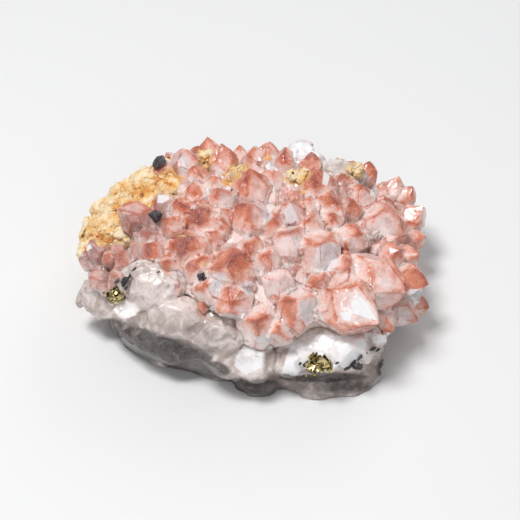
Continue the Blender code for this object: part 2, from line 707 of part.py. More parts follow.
def main():
    for obj in list(bpy.data.objects):
        bpy.data.objects.remove(obj)
    stone = bpy.data.collections.new("quartz_on_matrix")
    bpy.context.scene.collection.children.link(stone)

    cutters = helpers("cutters")
    lumps = helpers("lumps")
    lumps_grown = helpers("lumps_grown")
    for lump in LUMPS:
        lump_solid(lump, 0.0, lumps)
        lump_solid(lump, GAP, lumps_grown)
    matrix = rock_body("matrix", 0.0, stone)
    rock_cutter = rock_body("rock_cutter", GAP, cutters)
    boolean(matrix, "join_lumps", "UNION", lumps)
    boolean(rock_cutter, "join_lumps", "UNION", lumps_grown)
    settle(matrix)
    settle(rock_cutter)
    lie_flat(matrix)

    crust = crust_floor("red_quartz_crystals", 0.0, stone)
    crystal_cutter = crust_floor("crystal_cutter", GAP, cutters)
    for obj, grow in ((crust, 0.0), (crystal_cutter, GAP)):
        crystals = helpers("crystals_of_" + obj.name)
        for number, crystal in enumerate(LISTED):
            listed_crystal(f"listed_{number}", crystal, number, grow, crystals)
        for number, (foot, width) in enumerate(fill_places()):
            fill_crystal(f"fill_{number}", foot, width, FIRST_FILL + number, grow, crystals)
        boolean(obj, "join_crystals", "UNION", crystals)
    boolean(crust, "clear_of_rock", "DIFFERENCE", rock_cutter)
    settle(crust)
    settle(crystal_cutter)

    ochre = ochre_crust("ochre_crust", 0.0, stone)
    ochre_cutter = ochre_crust("ochre_cutter", OCHRE_GAP, cutters)
    clear_and_settle([ochre], rock_cutter, crystal_cutter)
    settle(ochre_cutter)
    tree = surface_of([matrix, crust, ochre])
    patches = [ochre_patch(patch, tree, stone) for patch in OCHRE_PATCHES]
    pyrite = [pyrite_cluster(patch, tree, stone) for patch in PYRITE_PATCHES]
    grains = [dark_grain(grain, tree, stone) for grain in DARK_GRAINS]
    clear_and_settle(patches + pyrite + grains, rock_cutter, crystal_cutter, ochre_cutter)

    paint([matrix], material("milky_quartz", (0.78, 0.75, 0.73), 0.35))
    paint([crust], material("red_quartz", (0.66, 0.30, 0.25), 0.18))
    paint([ochre] + patches, material("limonite", (0.80, 0.52, 0.20), 0.85))
    paint(pyrite, material("pyrite", (0.62, 0.52, 0.26), 0.3, metallic=1.0))
    paint(grains, material("dark_ore", (0.06, 0.06, 0.07), 0.35))
    stand_on_origin([matrix, crust, ochre] + patches + pyrite + grains)
    show_as_wire()


main()
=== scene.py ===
"""The looks of a cluster of red quartz crystals on milky quartz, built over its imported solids.

Each solid is refined to a fine mesh, worn along its edges and given relief. Small crystals, limonite
grains, pyrite cubes and flakes of dark ore are added. Lengths are in millimetres until a mesh is made.
Marks are placed where they are seen from the display side, in pixels of a 520 by 520 view.
"""

import math
import random
from collections import namedtuple

import bpy
import numpy as np
from mathutils import Matrix, Vector
from mathutils.bvhtree import BVHTree
from mathutils.kdtree import KDTree


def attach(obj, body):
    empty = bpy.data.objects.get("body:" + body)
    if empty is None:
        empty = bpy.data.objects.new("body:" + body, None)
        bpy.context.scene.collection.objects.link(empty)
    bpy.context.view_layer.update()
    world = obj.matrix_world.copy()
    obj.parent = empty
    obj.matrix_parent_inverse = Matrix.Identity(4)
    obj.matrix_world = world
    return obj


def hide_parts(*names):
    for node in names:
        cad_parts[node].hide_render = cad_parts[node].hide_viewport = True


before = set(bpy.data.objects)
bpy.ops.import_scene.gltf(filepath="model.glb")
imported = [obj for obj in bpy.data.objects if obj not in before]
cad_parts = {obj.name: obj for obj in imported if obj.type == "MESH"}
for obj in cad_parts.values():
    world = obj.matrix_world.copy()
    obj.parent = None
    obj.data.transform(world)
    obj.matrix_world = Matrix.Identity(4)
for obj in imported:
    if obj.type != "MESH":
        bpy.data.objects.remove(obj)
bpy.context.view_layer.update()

MM = 0.001

# How far the source moved the stone to stand it on the origin
SHIFT = np.array([-0.905, -4.135, 0.0])

# The dome under the crystals, as in the source
DOME_MIDDLE = np.array([0.0, 3.0, 12.0]) + SHIFT
DOME_LEFT = 50.0
DOME_RIGHT = 48.0
DOME_DEPTH = 38.0
DOME_RISE = 25.0
DOME_SINK = 22.0
ROUNDNESS = 2.3

# The display side and its view
TILT = math.radians(45.0)
RIGHT = np.array([1.0, 0.0, 0.0])
UP_VIEW = np.array([0.0, math.sin(TILT), math.cos(TILT)])
TO_EYE = np.array([0.0, -math.cos(TILT), math.sin(TILT)])
EYE_DISTANCE = 600.0
PIXEL = 0.3
VIEW_MIDDLE = (260.0, 260.0)
VIEW_SIDE = 520
TARGET = np.array([0.0, 0.0, 16.0]) + SHIFT + 2.7 * RIGHT + 2.7 * UP_VIEW
EYE = TARGET + EYE_DISTANCE * TO_EYE

# The longest edge of the refined meshes, where the display side sees them and elsewhere
COARSER = 1.0
FINE = 0.72 * COARSER
BROAD = 1.4 * COARSER
HIDDEN = 3.0
UNDERSIDE = 1.8
LOW_PARTS = 6.0
BACK_PARTS = 36.0 + SHIFT[1]

# What the rock hides of the crust and of the small crystals, below the dome
CRUST_INSIDE = -2.0
SMALL_INSIDE = -0.6

Mark = namedtuple("Mark", "x y wide high strength", defaults=(1.0,))


def marks_of(*rows):
    return [Mark(*row) for row in rows]


# Orange-red and brick-red faces of the crystals
RED_MARKS = marks_of(
    (196, 151, 9, 5), (160, 171, 3, 5), (173, 172, 4, 6), (196, 173, 10, 7, 0.7), (196, 193, 5, 4),
    (222, 147, 7, 6), (254, 150, 5, 5, 0.6), (286, 157, 7, 10, 0.8), (311, 157, 9, 6, 0.9),
    (243, 181, 8, 11), (316, 180, 12, 11, 0.6), (332, 201, 10, 9), (292, 193, 7, 5, 0.6),
    (279, 213, 5, 10, 0.8), (302, 213, 5, 10, 0.8), (243, 208, 7, 8, 0.9), (266, 229, 14, 8, 0.6),
    (198, 216, 15, 13, 1.3), (180, 211, 7, 11, 0.9), (155, 205, 4, 9), (85, 235, 6, 6, 1.2),
    (106, 260, 5, 6), (119, 260, 7, 9), (150, 252, 8, 9, 0.9), (147, 235, 4, 5), (164, 226, 5, 8),
    (182, 252, 16, 16, 1.4), (226, 221, 8, 12, 0.8), (213, 238, 7, 8, 0.9), (254, 251, 7, 7, 0.8),
    (290, 232, 12, 4, 0.8), (215, 261, 8, 8, 1.1), (238, 261, 13, 9, 1.2), (231, 291, 9, 8, 0.9),
    (232, 303, 16, 3, 0.8), (202, 306, 5, 6, 0.9), (258, 324, 8, 7, 0.9), (289, 313, 7, 12, 0.9),
    (278, 296, 10, 3, 0.7), (326, 281, 12, 7, 1.1), (345, 259, 4, 16, 0.8), (304, 262, 7, 14, 0.6),
    (353, 209, 7, 10, 0.9), (350, 224, 10, 3, 0.7), (358, 233, 3, 8, 0.7), (392, 209, 9, 5, 0.9),
    (395, 272, 8, 10, 0.6), (343, 298, 7, 10), (366, 286, 10, 4, 0.6), (370, 171, 6, 10, 0.8),
    (342, 181, 8, 8, 0.9), (385, 188, 6, 6, 0.8), (331, 212, 4, 3), (330, 222, 4, 3),
    (280, 158, 90, 12, 0.50), (408, 255, 24, 50, 0.52), (330, 172, 50, 10, 0.25),
)

# Pale faces and clear windows, and painted highlights on small glinting faces
PALE_AND_GLINT_MARKS = marks_of(
    (183, 164, 6, 9, 0.7), (224, 166, 8, 11, 0.5), (270, 167, 5, 5), (291, 216, 7, 11, 1.2),
    (261, 206, 9, 9), (193, 207, 4, 2), (163, 198, 6, 4), (88, 246, 5, 3), (291, 243, 10, 8, 1.2),
    (216, 284, 6, 10, 1.3), (247, 288, 6, 7, 1.2), (232, 312, 11, 6, 0.7), (258, 340, 14, 8, 0.9),
    (306, 311, 11, 13, 1.1), (280, 282, 11, 11, 0.9), (325, 258, 13, 13, 1.2), (385, 227, 14, 14, 0.7),
    (399, 222, 3, 2), (423, 216, 4, 13, 0.9), (425, 247, 3, 9), (362, 306, 11, 8, 1.5),
    (346, 316, 5, 4, 1.2), (384, 290, 12, 16, 0.6), (415, 294, 7, 5, 0.9), (373, 192, 3, 4),
    (399, 191, 8, 9, 0.4), (326, 176, 4, 7, 0.6), (404, 318, 11, 7, 0.7),
)

# Limonite on the crystals
OCHRE_MARKS = marks_of(
    (206, 160, 6, 9), (228, 182, 6, 4), (236, 175, 6, 5), (244, 168, 4, 4), (302, 174, 9, 5, 0.9),
    (353, 170, 9, 8), (268, 158, 3, 3), (303, 192, 3, 2), (203, 263, 3, 3, 0.8), (184, 236, 12, 1.6, 0.7),
    (172, 187, 5, 5), (140, 191, 7, 6), (383, 173, 6, 4, 0.7), (102, 241, 7, 6),
)

# Mauve and purple-brown crystals
MAUVE_MARKS = marks_of(
    (135, 226, 24, 13, 1.2), (90, 253, 12, 12), (163, 205, 9, 12), (133, 252, 9, 10, 0.6),
    (178, 165, 8, 12, 0.5), (346, 192, 6, 7, 0.8), (164, 174, 4, 6, 0.7), (230, 196, 11, 9, 0.4),
    (108, 280, 12, 9, 0.5),
)

# Deep orange places of the limonite, and a dark pit
OCHRE_DEEP = marks_of(
    (143, 191, 9, 6, 1.2), (133, 205, 8, 6), (102, 242, 9, 8), (171, 186, 6, 4, 0.8),
    (142, 195, 2.5, 2.5, 2.2), (118, 212, 8, 4, 0.6), (152, 184, 8, 4, 0.6), (125, 188, 5, 4, 0.5),
    (86, 250, 5, 5, 0.6),
)

# On the rock: opaque white places, grey clear places that also carry painted shade on the low front, painted
# shade that darkens the low places under the ledges and on the underside, and red stains
ROCK_WHITE = marks_of(
    (126, 310, 13, 9, 1.2), (156, 288, 25, 14), (255, 368, 14, 11), (330, 347, 44, 17, 1.4),
    (377, 338, 9, 10, 1.1), (292, 370, 12, 8), (303, 149, 20, 10, 1.5), (330, 156, 16, 9, 1.4),
    (172, 310, 19, 12, 0.8), (222, 346, 14, 11, 0.8), (92, 296, 10, 14, 0.6),
)
# Grey clear quartz, and painted shade where these marks lie on the shaded underside
ROCK_GREY_AND_SHADE = marks_of(
    (88, 290, 14, 26, 0.3), (176, 330, 20, 7, 0.7), (207, 333, 21, 11), (381, 358, 11, 12),
    (160, 348, 52, 16), (335, 386, 40, 9, 0.8), (224, 362, 16, 14, 0.4),
)
# Painted shade under the ledges and on the underside
ROCK_SHADE = marks_of(
    (110, 327, 12, 8, 1.3), (134, 339, 18, 10, 1.5), (160, 350, 22, 11, 1.5), (186, 359, 22, 10, 1.5),
    (210, 370, 18, 8, 1.3), (322, 377, 40, 5, 1.2), (350, 388, 40, 9, 0.62), (262, 388, 26, 9, 0.9),
    (236, 386, 20, 8), (384, 368, 8, 10, 0.9),
)
ROCK_RED = marks_of(
    (168, 272, 7, 4), (178, 288, 5, 11, 0.8), (98, 277, 12, 6, 0.6), (203, 312, 6, 8, 0.7),
    (84, 270, 6, 9, 0.6), (255, 344, 10, 6, 0.3),
)

# Bright blocks of the rock, as outlines in pixels
ROCK_BLOCKS = [
    [(112, 309), (118, 300), (135, 302), (141, 311), (131, 318), (120, 320)],
    [(371, 346), (372, 335), (386, 331), (388, 342)],
    [(284, 152), (292, 143), (302, 141), (316, 147), (322, 158), (300, 160)],
    [
        (281, 372), (289, 347), (318, 334), (337, 334), (371, 339),
        (362, 355), (348, 367), (332, 373), (293, 377),
    ],
    [(233, 366), (238, 350), (250, 346), (266, 354), (264, 368), (246, 376)],
]

# Flakes of dark ore on the surface: where, how long and wide in millimetres, and their turn in degrees
Flake = namedtuple("Flake", "x y long wide turn")
FLAKES = [Flake(*row) for row in (
    (132, 272, 3.4, 0.9, 25), (139, 269, 2.6, 0.8, 8), (129, 277, 3.2, 0.9, 62), (123, 284, 2.6, 1.6, 50),
    (126, 288, 1.6, 1.0, 20), (142, 195, 1.0, 0.9, 0), (348, 368, 3.0, 1.5, 30), (353, 363, 2.2, 1.2, 50),
    (361, 357, 3.2, 1.1, 62), (366, 353, 1.8, 1.0, 80), (373, 349, 2.6, 0.9, 15), (378, 350, 1.4, 0.7, 5),
    (357, 368, 1.8, 0.9, 60), (293, 173, 0.9, 0.7, 0), (232, 190, 0.8, 0.7, 30), (205, 279, 1.6, 0.9, 80),
    (155, 219, 2.2, 1.2, 20), (152, 214, 1.4, 0.9, 60), (168, 158, 1.6, 1.0, 30), (300, 364, 1.2, 0.7, 30),
    (337, 363, 1.4, 0.7, 0), (112, 299, 1.4, 0.7, 60), (117, 281, 1.8, 0.9, 40), (158, 272, 1.2, 0.4, 30),
    (345, 375, 1.0, 0.6, 30), (382, 332, 1.2, 0.5, 80),
)]

# Painted highlights where mirror-like places reflect the light to the eye; clear white windows. Both as
# outlines in pixels
GLINTS = [
    [(351, 305), (353, 300), (360, 296), (364, 300), (378, 321), (352, 313)],
    [(340, 312), (352, 313), (350, 321), (344, 320)],
    [(406, 300), (410, 289), (424, 290), (420, 299)],
    [(389, 247), (398, 250), (390, 254)],
    [(370, 197), (371, 189), (377, 188), (374, 196)],
    [(157, 203), (158, 195), (168, 194), (170, 199), (163, 203)],
    [(190, 209), (192, 205), (197, 205), (195, 209)],
    [(84, 247), (90, 244), (92, 248), (87, 251)],
    [(266, 168), (268, 160), (274, 166), (272, 171)],
    [(322, 184), (324, 170), (330, 176), (327, 186)],
]
WINDOWS = [
    [(209, 290), (212, 277), (219, 272), (224, 276), (223, 290), (215, 296)],
    [(241, 285), (246, 280), (254, 284), (253, 295), (245, 297)],
    [(312, 262), (316, 247), (326, 243), (338, 247), (340, 260), (328, 273), (318, 271)],
    [(284, 228), (284, 208), (291, 202), (298, 210), (298, 228)],
    [(300, 300), (314, 300), (318, 316), (308, 326), (299, 318)],
    [(176, 160), (184, 153), (190, 158), (188, 174), (180, 176)],
    [(262, 206), (270, 204), (272, 220), (262, 228)],
    [(252, 338), (262, 332), (272, 340), (264, 350)],
]

# Red seams on the crystals, as chains of pixels
RED_LINES = [
    [(386, 260), (396, 273), (405, 285)],
    [(206, 285), (213, 297), (231, 303), (249, 298)],
    [(345, 243), (352, 262), (348, 280), (331, 290), (306, 286)],
    [(364, 207), (384, 199), (404, 203), (411, 216)],
    [(212, 262), (222, 252), (244, 251), (254, 266)],
    [(112, 222), (113, 210), (118, 209), (138, 214)],
    [(155, 208), (154, 195), (160, 191), (172, 196)],
    [(183, 222), (187, 203), (204, 200), (213, 207)],
    [(166, 250), (178, 240), (193, 243), (199, 257)],
    [(238, 196), (241, 176), (252, 168), (267, 186)],
    [(303, 200), (306, 178), (314, 168), (328, 186)],
    [(358, 300), (372, 318), (384, 334)],
    [(280, 322), (283, 305), (296, 299)],
    [(276, 222), (282, 205), (292, 200), (304, 210), (305, 228)],
]

# The crystals are two pieces that meet here
SPLIT = 1.0

# Small crystals in the grooves and on the bare bed: how many, how wide, how far they lean, how far their
# tips stand out and how long they are, the last two as shares of the width
Growth = namedtuple("Growth", "count width lean stand length")
IN_GROOVES = Growth(380, (1.2, 3.0), 0.4, (0.3, 0.8), 1.7)
ON_BED = Growth(230, (2.6, 5.0), 0.35, (0.5, 1.0), 1.8)
GROOVE_LEVELS = (-1.0, 4.0)
BED_LEVELS = (-2.5, 0.6)
GROWTH_FROM = 9.0
CRYSTAL_POINT = 0.66

# Worn edges and filled grooves of the crystals. Red grows with height, and the small ones count as lower.
CRYSTAL_WEAR = 0.30
SMALL_WEAR = 0.05
WEAR_REACH = 0.40
GROOVE_ROUNDS = 8
GROOVE_REACH = 0.9
SMALL_LIFT = -2.5

# Rounding, breaks and relief of the rock
ROCK_ROUNDS = 14
ROCK_BREAKS = 520
BREAK_DEPTH = 1.1
BREAKS_NEAR = 9
JOINT_REACH = 1.1
JOINT_RISE = 0.32
FOOT_WAVE = 0.8
FOOT_HEIGHT = 1.5
RESTING = 0.01

# Limonite: spacing of the lumps, their depth and the longest edge, and the loose grains
WIDE_LUMPS = (1.9, 0.7, 0.55)
FINE_LUMPS = (1.0, 0.35, 0.3)
OCHRE_GRAINS = 3200
OCHRE_GRAIN_SIZE = (0.30, 0.62)

# Ore: loose cubes on each pyrite cluster, and flakes
PYRITE_GRAINS = 80
PYRITE_SIZE = (0.35, 0.95)
FLAKE_THICKNESS = 0.35
BALL_FACES = 20
CUBE_FACES = 12

# The sharp angle that leaves a whole surface smooth
ALL_SMOOTH = 180.0

# How many random values the noise has along each side of its block
LATTICE = 32

FAR_AWAY = 1e4
MOST_HALVINGS = 14

# Half the side of the floor, in metres
FLOOR_REACH = 3.0


# Meshes as arrays

def lattice_noise(points, size, seed):
    """Smooth noise from -1 to 1, whose features are about size across."""
    lattice = np.random.default_rng(seed).random((LATTICE, LATTICE, LATTICE)) * 2.0 - 1.0
    cell = points / size
    low = np.floor(cell).astype(int)
    share = cell - low
    share = share * share * (3.0 - 2.0 * share)
    total = np.zeros(len(points))
    for corner in range(8):
        step = np.array([corner & 1, corner >> 1 & 1, corner >> 2 & 1])
        weight = np.where(step, share, 1.0 - share).prod(axis=1)
        at = (low + step) % LATTICE
        total += weight * lattice[at[:, 0], at[:, 1], at[:, 2]]
    return total


def layered_noise(points, size, seed, layers=3):
    return sum(lattice_noise(points, size / 2**i, seed + i) / 2**i for i in range(layers))


def smooth_step(value, low, high):
    share = np.clip((value - low) / (high - low), 0.0, 1.0)
    return share * share * (3.0 - 2.0 * share)


def welded(points, faces):
    _, first, index = np.unique(np.round(points, 3), axis=0, return_index=True, return_inverse=True)
    faces = index.reshape(-1)[faces]
    whole = (faces[:, 0] != faces[:, 1]) & (faces[:, 1] != faces[:, 2]) & (faces[:, 0] != faces[:, 2])
    return points[first], faces[whole]


def solid_of(node):
    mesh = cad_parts[node].data
    mesh.calc_loop_triangles()
    points = np.empty(len(mesh.vertices) * 3)
    mesh.vertices.foreach_get("co", points)
    faces = np.empty(len(mesh.loop_triangles) * 3, int)
    mesh.loop_triangles.foreach_get("vertices", faces)
    return welded(points.reshape(-1, 3) / MM, faces.reshape(-1, 3))


def crosses(points, faces):
    """The cross product of two sides of each triangle: its normal, as long as twice its area."""
    a, b, c = (points[faces[:, k]] for k in range(3))
    return np.cross(b - a, c - a)


def sides_of(faces):
    return np.concatenate([faces[:, [0, 1]], faces[:, [1, 2]], faces[:, [2, 0]]])


def face_normals(points, faces):
    cross = crosses(points, faces)
    return cross / np.maximum(np.linalg.norm(cross, axis=1), 1e-12)[:, None]


def point_normals(points, faces):
    cross = crosses(points, faces)
    total = np.zeros_like(points)
    for corner in range(3):
        np.add.at(total, faces[:, corner], cross)
    return total / np.maximum(np.linalg.norm(total, axis=1), 1e-12)[:, None]


def edge_pairs(faces):
    """Each edge between two triangles: its ends, and the two triangles."""
    ends = sides_of(faces)
    owner = np.tile(np.arange(len(faces)), 3)
    ends = np.sort(ends, axis=1)
    order = np.lexsort((ends[:, 1], ends[:, 0]))
    ends = ends[order]
    owner = owner[order]
    same = np.flatnonzero((ends[1:] == ends[:-1]).all(axis=1))
    return ends[same], owner[same], owner[same + 1]


def facets_of(points, faces, flat=1.0):
    """The number of the flat facet that each triangle belongs to."""
    normals = face_normals(points, faces)
    _, one, two = edge_pairs(faces)
    level = (normals[one] * normals[two]).sum(axis=1) > math.cos(math.radians(flat))
    root = list(range(len(faces)))

    def find(item):
        while root[item] != item:
            root[item] = root[root[item]]
            item = root[item]
        return item

    for a, b in zip(one[level], two[level]):
        root[find(a)] = find(b)
    _, numbers = np.unique([find(i) for i in range(len(faces))], return_inverse=True)
    return numbers


def edge_samples(points, faces, facets, least_turn=18.0, step=0.3):
    """Points along the sharp edges: those of ridges, and those of grooves."""
    normals = face_normals(points, faces)
    ends, one, two = edge_pairs(faces)
    turn = (normals[one] * normals[two]).sum(axis=1)
    sharp = (facets[one] != facets[two]) & (turn < math.cos(math.radians(least_turn)))
    centres = points[faces].mean(axis=1)
    rise = ((centres[two] - centres[one]) * normals[one]).sum(axis=1)
    nowhere = np.full((1, 3), FAR_AWAY)
    found = {True: [nowhere], False: [nowhere]}
    for k in np.flatnonzero(sharp):
        a, b = points[ends[k]]
        count = max(int(np.linalg.norm(b - a) / step), 1) + 1
        share = np.linspace(0.0, 1.0, count)[:, None]
        found[bool(rise[k] < 0)].append(a * (1 - share) + b * share)
    return np.concatenate(found[True]), np.concatenate(found[False])


def tree_of(places):
    tree = KDTree(len(places))
    for number, place in enumerate(places):
        tree.insert(place, number)
    tree.balance()
    return tree


def distance_to(tree, points):
    return np.array([tree.find(p)[2] for p in points])


def rotated(rows, turn):
    return np.take_along_axis(rows, (turn[:, None] + np.arange(3)) % 3, axis=1)


def refine(points, faces, facets, longest):
    """Halves every edge that is longer than longest says at its middle, until none is."""
    for _ in range(MOST_HALVINGS):
        ends = np.sort(sides_of(faces), axis=1)
        edges, index = np.unique(ends, axis=0, return_inverse=True)
        middle = points[edges].mean(axis=1)
        long = np.linalg.norm(points[edges[:, 0]] - points[edges[:, 1]], axis=1) > longest(middle)
        if not long.any():
            break
        number = np.full(len(edges), -1)
        number[long] = len(points) + np.arange(long.sum())
        points = np.concatenate([points, middle[long]])
        mids = number[index.reshape(3, -1).T]
        split = (mids >= 0).sum(axis=1)
        kept = [faces[split == 0]]
        owners = [facets[split == 0]]

        pick = split == 1
        turn = np.argmax(mids[pick] >= 0, axis=1)
        f, m = rotated(faces[pick], turn), rotated(mids[pick], turn)
        kept += [np.stack([f[:, 0], m[:, 0], f[:, 2]], 1), np.stack([m[:, 0], f[:, 1], f[:, 2]], 1)]
        owners += [facets[pick]] * 2

        # The four-sided rest beside two halved edges is cut along its shorter diagonal
        pick = split == 2
        turn = np.argmax(mids[pick] < 0, axis=1) + 1
        f, m = rotated(faces[pick], turn), rotated(mids[pick], turn)
        one = np.linalg.norm(points[f[:, 0]] - points[m[:, 1]], axis=1)
        two = np.linalg.norm(points[m[:, 0]] - points[f[:, 2]], axis=1)
        first = (one < two)[:, None]
        a, b, c, d = f[:, 0], m[:, 0], m[:, 1], f[:, 2]
        kept += [
            np.stack([b, f[:, 1], c], 1),
            np.where(first, np.stack([a, b, c], 1), np.stack([a, b, d], 1)),
            np.where(first, np.stack([a, c, d], 1), np.stack([b, c, d], 1)),
        ]
        owners += [facets[pick]] * 3

        pick = split == 3
        f, m = faces[pick], mids[pick]
        kept += [np.stack([f[:, k], m[:, k], m[:, k - 1]], 1) for k in range(3)] + [m]
        owners += [facets[pick]] * 4
        faces = np.concatenate(kept)
        facets = np.concatenate(owners)
    return points, faces, facets


def seen_pixels(points):
    """Where points are seen from the display side, in pixels."""
    line = points - EYE
    depth = -line @ TO_EYE
    scale = EYE_DISTANCE / depth / PIXEL
    return VIEW_MIDDLE[0] + line @ RIGHT * scale, VIEW_MIDDLE[1] - line @ UP_VIEW * scale


def seen_line(x, y):
    """The direction from the eye through a pixel."""
    line = TARGET + (x - VIEW_MIDDLE[0]) * PIXEL * RIGHT + (VIEW_MIDDLE[1] - y) * PIXEL * UP_VIEW - EYE
    return line / np.linalg.norm(line)


def marked(points, marks):
    """How strongly the marks cover each point."""
    x, y = seen_pixels(points)
    total = np.zeros(len(points))
    for mark in marks:
        away = ((x - mark.x) / mark.wide) ** 2 + ((y - mark.y) / mark.high) ** 2
        total = np.maximum(total, mark.strength * np.exp(-(away**1.5) * 0.7))
    return total


def dome_height(points):
    """How far points stand above the dome."""
    offset = points - DOME_MIDDLE
    across = np.abs(offset[:, 0]) / np.where(offset[:, 0] < 0, DOME_LEFT, DOME_RIGHT)
    back = np.abs(offset[:, 1]) / DOME_DEPTH
    rise = np.abs(offset[:, 2]) / np.where(offset[:, 2] > 0, DOME_RISE, DOME_SINK)
    level = (across**ROUNDNESS + back**ROUNDNESS + rise**ROUNDNESS) ** (1.0 / ROUNDNESS)
    return (1.0 - 1.0 / np.maximum(level, 0.05)) * np.linalg.norm(offset, axis=1)


def dome_normal(place):
    step = 0.2
    shifts = np.concatenate([np.eye(3) * step, -np.eye(3) * step])
    level = dome_height(place + shifts)
    slope = level[:3] - level[3:]
    return slope / np.linalg.norm(slope)


def piece(name, points, faces, facets, values, facet_values, look, nodes, slot, sharp=28.0):
    """Makes the object: point values and facet values become attributes that its material reads."""
    mesh = bpy.data.meshes.new(name)
    mesh.vertices.add(len(points))
    mesh.loops.add(faces.size)
    mesh.polygons.add(len(faces))
    mesh.vertices.foreach_set("co", (points * MM).ravel())
    mesh.polygons.foreach_set("loop_start", np.arange(len(faces)) * 3)
    mesh.loops.foreach_set("vertex_index", faces.ravel())
    mesh.update(calc_edges=True)
    mesh.polygons.foreach_set("use_smooth", np.ones(len(faces), bool))
    mark_sharp(mesh, points, faces, facets, sharp)
    for title, value in values.items():
        made = mesh.attributes.new(title, "FLOAT", "POINT")
        made.data.foreach_set("value", np.ascontiguousarray(value, np.float32))
    for title, value in facet_values.items():
        made = mesh.attributes.new(title, "FLOAT", "FACE")
        made.data.foreach_set("value", np.ascontiguousarray(value[facets], np.float32))
    obj = bpy.data.objects.new(name, mesh)
    bpy.context.scene.collection.objects.link(obj)
    mesh.materials.append(look)
    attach(obj, "root")
    if nodes:
        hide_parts(*nodes)


def mark_sharp(mesh, points, faces, facets, least_turn):
    normals = np.zeros((facets.max() + 1, 3))
    np.add.at(normals, facets, face_normals(points, faces))
    normals /= np.maximum(np.linalg.norm(normals, axis=1), 1e-9)[:, None]
    ends, one, two = edge_pairs(faces)
    turn = (normals[facets[one]] * normals[facets[two]]).sum(axis=1)
    sharp = (facets[one] != facets[two]) & (turn < math.cos(math.radians(least_turn)))
    own = np.empty(len(mesh.edges) * 2, int)
    mesh.edges.foreach_get("vertices", own)
    own = np.sort(own.reshape(-1, 2), axis=1)
    keys = own[:, 0] * (len(points) + 1) + own[:, 1]
    wanted = ends[sharp, 0] * (len(points) + 1) + ends[sharp, 1]
    mesh.edges.foreach_set("use_edge_sharp", np.isin(keys, wanted))


def in_view(middle):
    """The longest edge allowed: fine on what the display side and the top see, broad below and behind."""
    behind = (middle[:, 2] < LOW_PARTS) | (middle[:, 1] > BACK_PARTS)
    return np.where(behind, BROAD, FINE)


def on_crystals(middle):
    """A little finer than in_view, and coarse on the inner side of the crust, which the rock hides."""
    return np.where(dome_height(middle) < CRUST_INSIDE, HIDDEN, 0.88 * in_view(middle))


def on_rock(middle):
    """A little coarser than in_view, and of one size on the flat base."""
    return np.where(middle[:, 2] < 0.1, UNDERSIDE, 1.15 * in_view(middle))


def on_small_crystals(middle):
    """Coarser still, and coarsest where the large crystals hide them."""
    return np.where(dome_height(middle) < SMALL_INSIDE, HIDDEN, 1.25 * in_view(middle))


def share_of(points, faces, facets, values, keep):
    """The triangles that keep picks, with only the points they use."""
    used, index = np.unique(faces[keep], return_inverse=True)
    picked = {title: value[used] for title, value in values.items()}
    return points[used], index.reshape(-1, 3), facets[keep], picked


def crystal_arrays(tip, axis, width, length, rng):
    """A six-sided crystal with uneven tip faces, as points and triangles."""
    radius = width / math.sqrt(3.0)
    turn = rng.uniform(0.0, math.pi / 3)
    frame_of = Vector(axis).to_track_quat("Z", "Y").to_matrix()
    squeeze = rng.uniform(0.75, 1.0)
    points = [Vector((0, 0, 0))]
    for ring, depth in ((0, CRYSTAL_POINT * width), (1, length)):
        for side in range(6):
            angle = turn + side * math.pi / 3
            uneven = rng.uniform(0.75, 1.25) if ring == 0 else 1.0
            across = radius * squeeze * math.cos(angle)
            points.append(Vector((across, radius * math.sin(angle), -depth * uneven)))
    faces = []
    for side in range(6):
        after = (side + 1) % 6
        faces.append((0, 1 + side, 1 + after))
        faces.append((1 + side, 7 + side, 7 + after))
        faces.append((1 + side, 7 + after, 1 + after))
    for side in range(1, 5):
        faces.append((7, 7 + side + 1, 7 + side))
    placed = np.array([frame_of @ p for p in points]) + tip
    return placed, np.array(faces)


def ball_arrays(divisions=1):
    """A ball of unit size as points and triangles."""
    gold = (1 + math.sqrt(5)) / 2
    points = [(-1, gold, 0), (1, gold, 0), (-1, -gold, 0), (1, -gold, 0), (0, -1, gold), (0, 1, gold)]
    points += [(0, -1, -gold), (0, 1, -gold), (gold, 0, -1), (gold, 0, 1), (-gold, 0, -1), (-gold, 0, 1)]
    faces = [(0, 11, 5), (0, 5, 1), (0, 1, 7), (0, 7, 10), (0, 10, 11), (1, 5, 9), (5, 11, 4)]
    faces += [(11, 10, 2), (10, 7, 6), (7, 1, 8), (3, 9, 4), (3, 4, 2), (3, 2, 6), (3, 6, 8)]
    faces += [(3, 8, 9), (4, 9, 5), (2, 4, 11), (6, 2, 10), (8, 6, 7), (9, 8, 1)]
    points, faces = np.array(points, float), np.array(faces)
    for _ in range(divisions):
        edges, index = np.unique(np.sort(sides_of(faces), axis=1), axis=0, return_inverse=True)
        mids = len(points) + index.reshape(3, -1).T
        points = np.concatenate([points, points[edges].mean(axis=1)])
        points /= np.linalg.norm(points, axis=1)[:, None]
        corners = [np.stack([faces[:, k], mids[:, k], mids[:, k - 1]], 1) for k in range(3)]
        faces = np.concatenate(corners + [mids])
    return points / np.linalg.norm(points, axis=1)[:, None], faces


def joined(parts):
    """Several shapes as one set of points and triangles."""
    starts = np.cumsum([0] + [len(p) for p, _ in parts])
    points = np.concatenate([p for p, _ in parts])
    faces = np.concatenate([f + start for (_, f), start in zip(parts, starts)])
    return points, faces


def places_on(points, faces, count, seed, wanted):
    """Places spread at random over the triangles for which wanted says so, and their normals."""
    rng = np.random.default_rng(seed)
    area = np.linalg.norm(crosses(points, faces), axis=1) * wanted
    pick = rng.choice(len(faces), count, p=area / area.sum())
    share = np.sort(rng.random((count, 2)), axis=1)
    weight = np.stack([share[:, 0], share[:, 1] - share[:, 0], 1 - share[:, 1]], 1)
    spots = (points[faces[pick]] * weight[:, :, None]).sum(axis=1)
    return spots, face_normals(points, faces)[pick]


def any_turn(rng):
    axis = Vector([rng.gauss(0, 1) for _ in range(3)]).normalized()
    return np.array(Matrix.Rotation(rng.uniform(0, 2 * math.pi), 3, axis))


# Materials

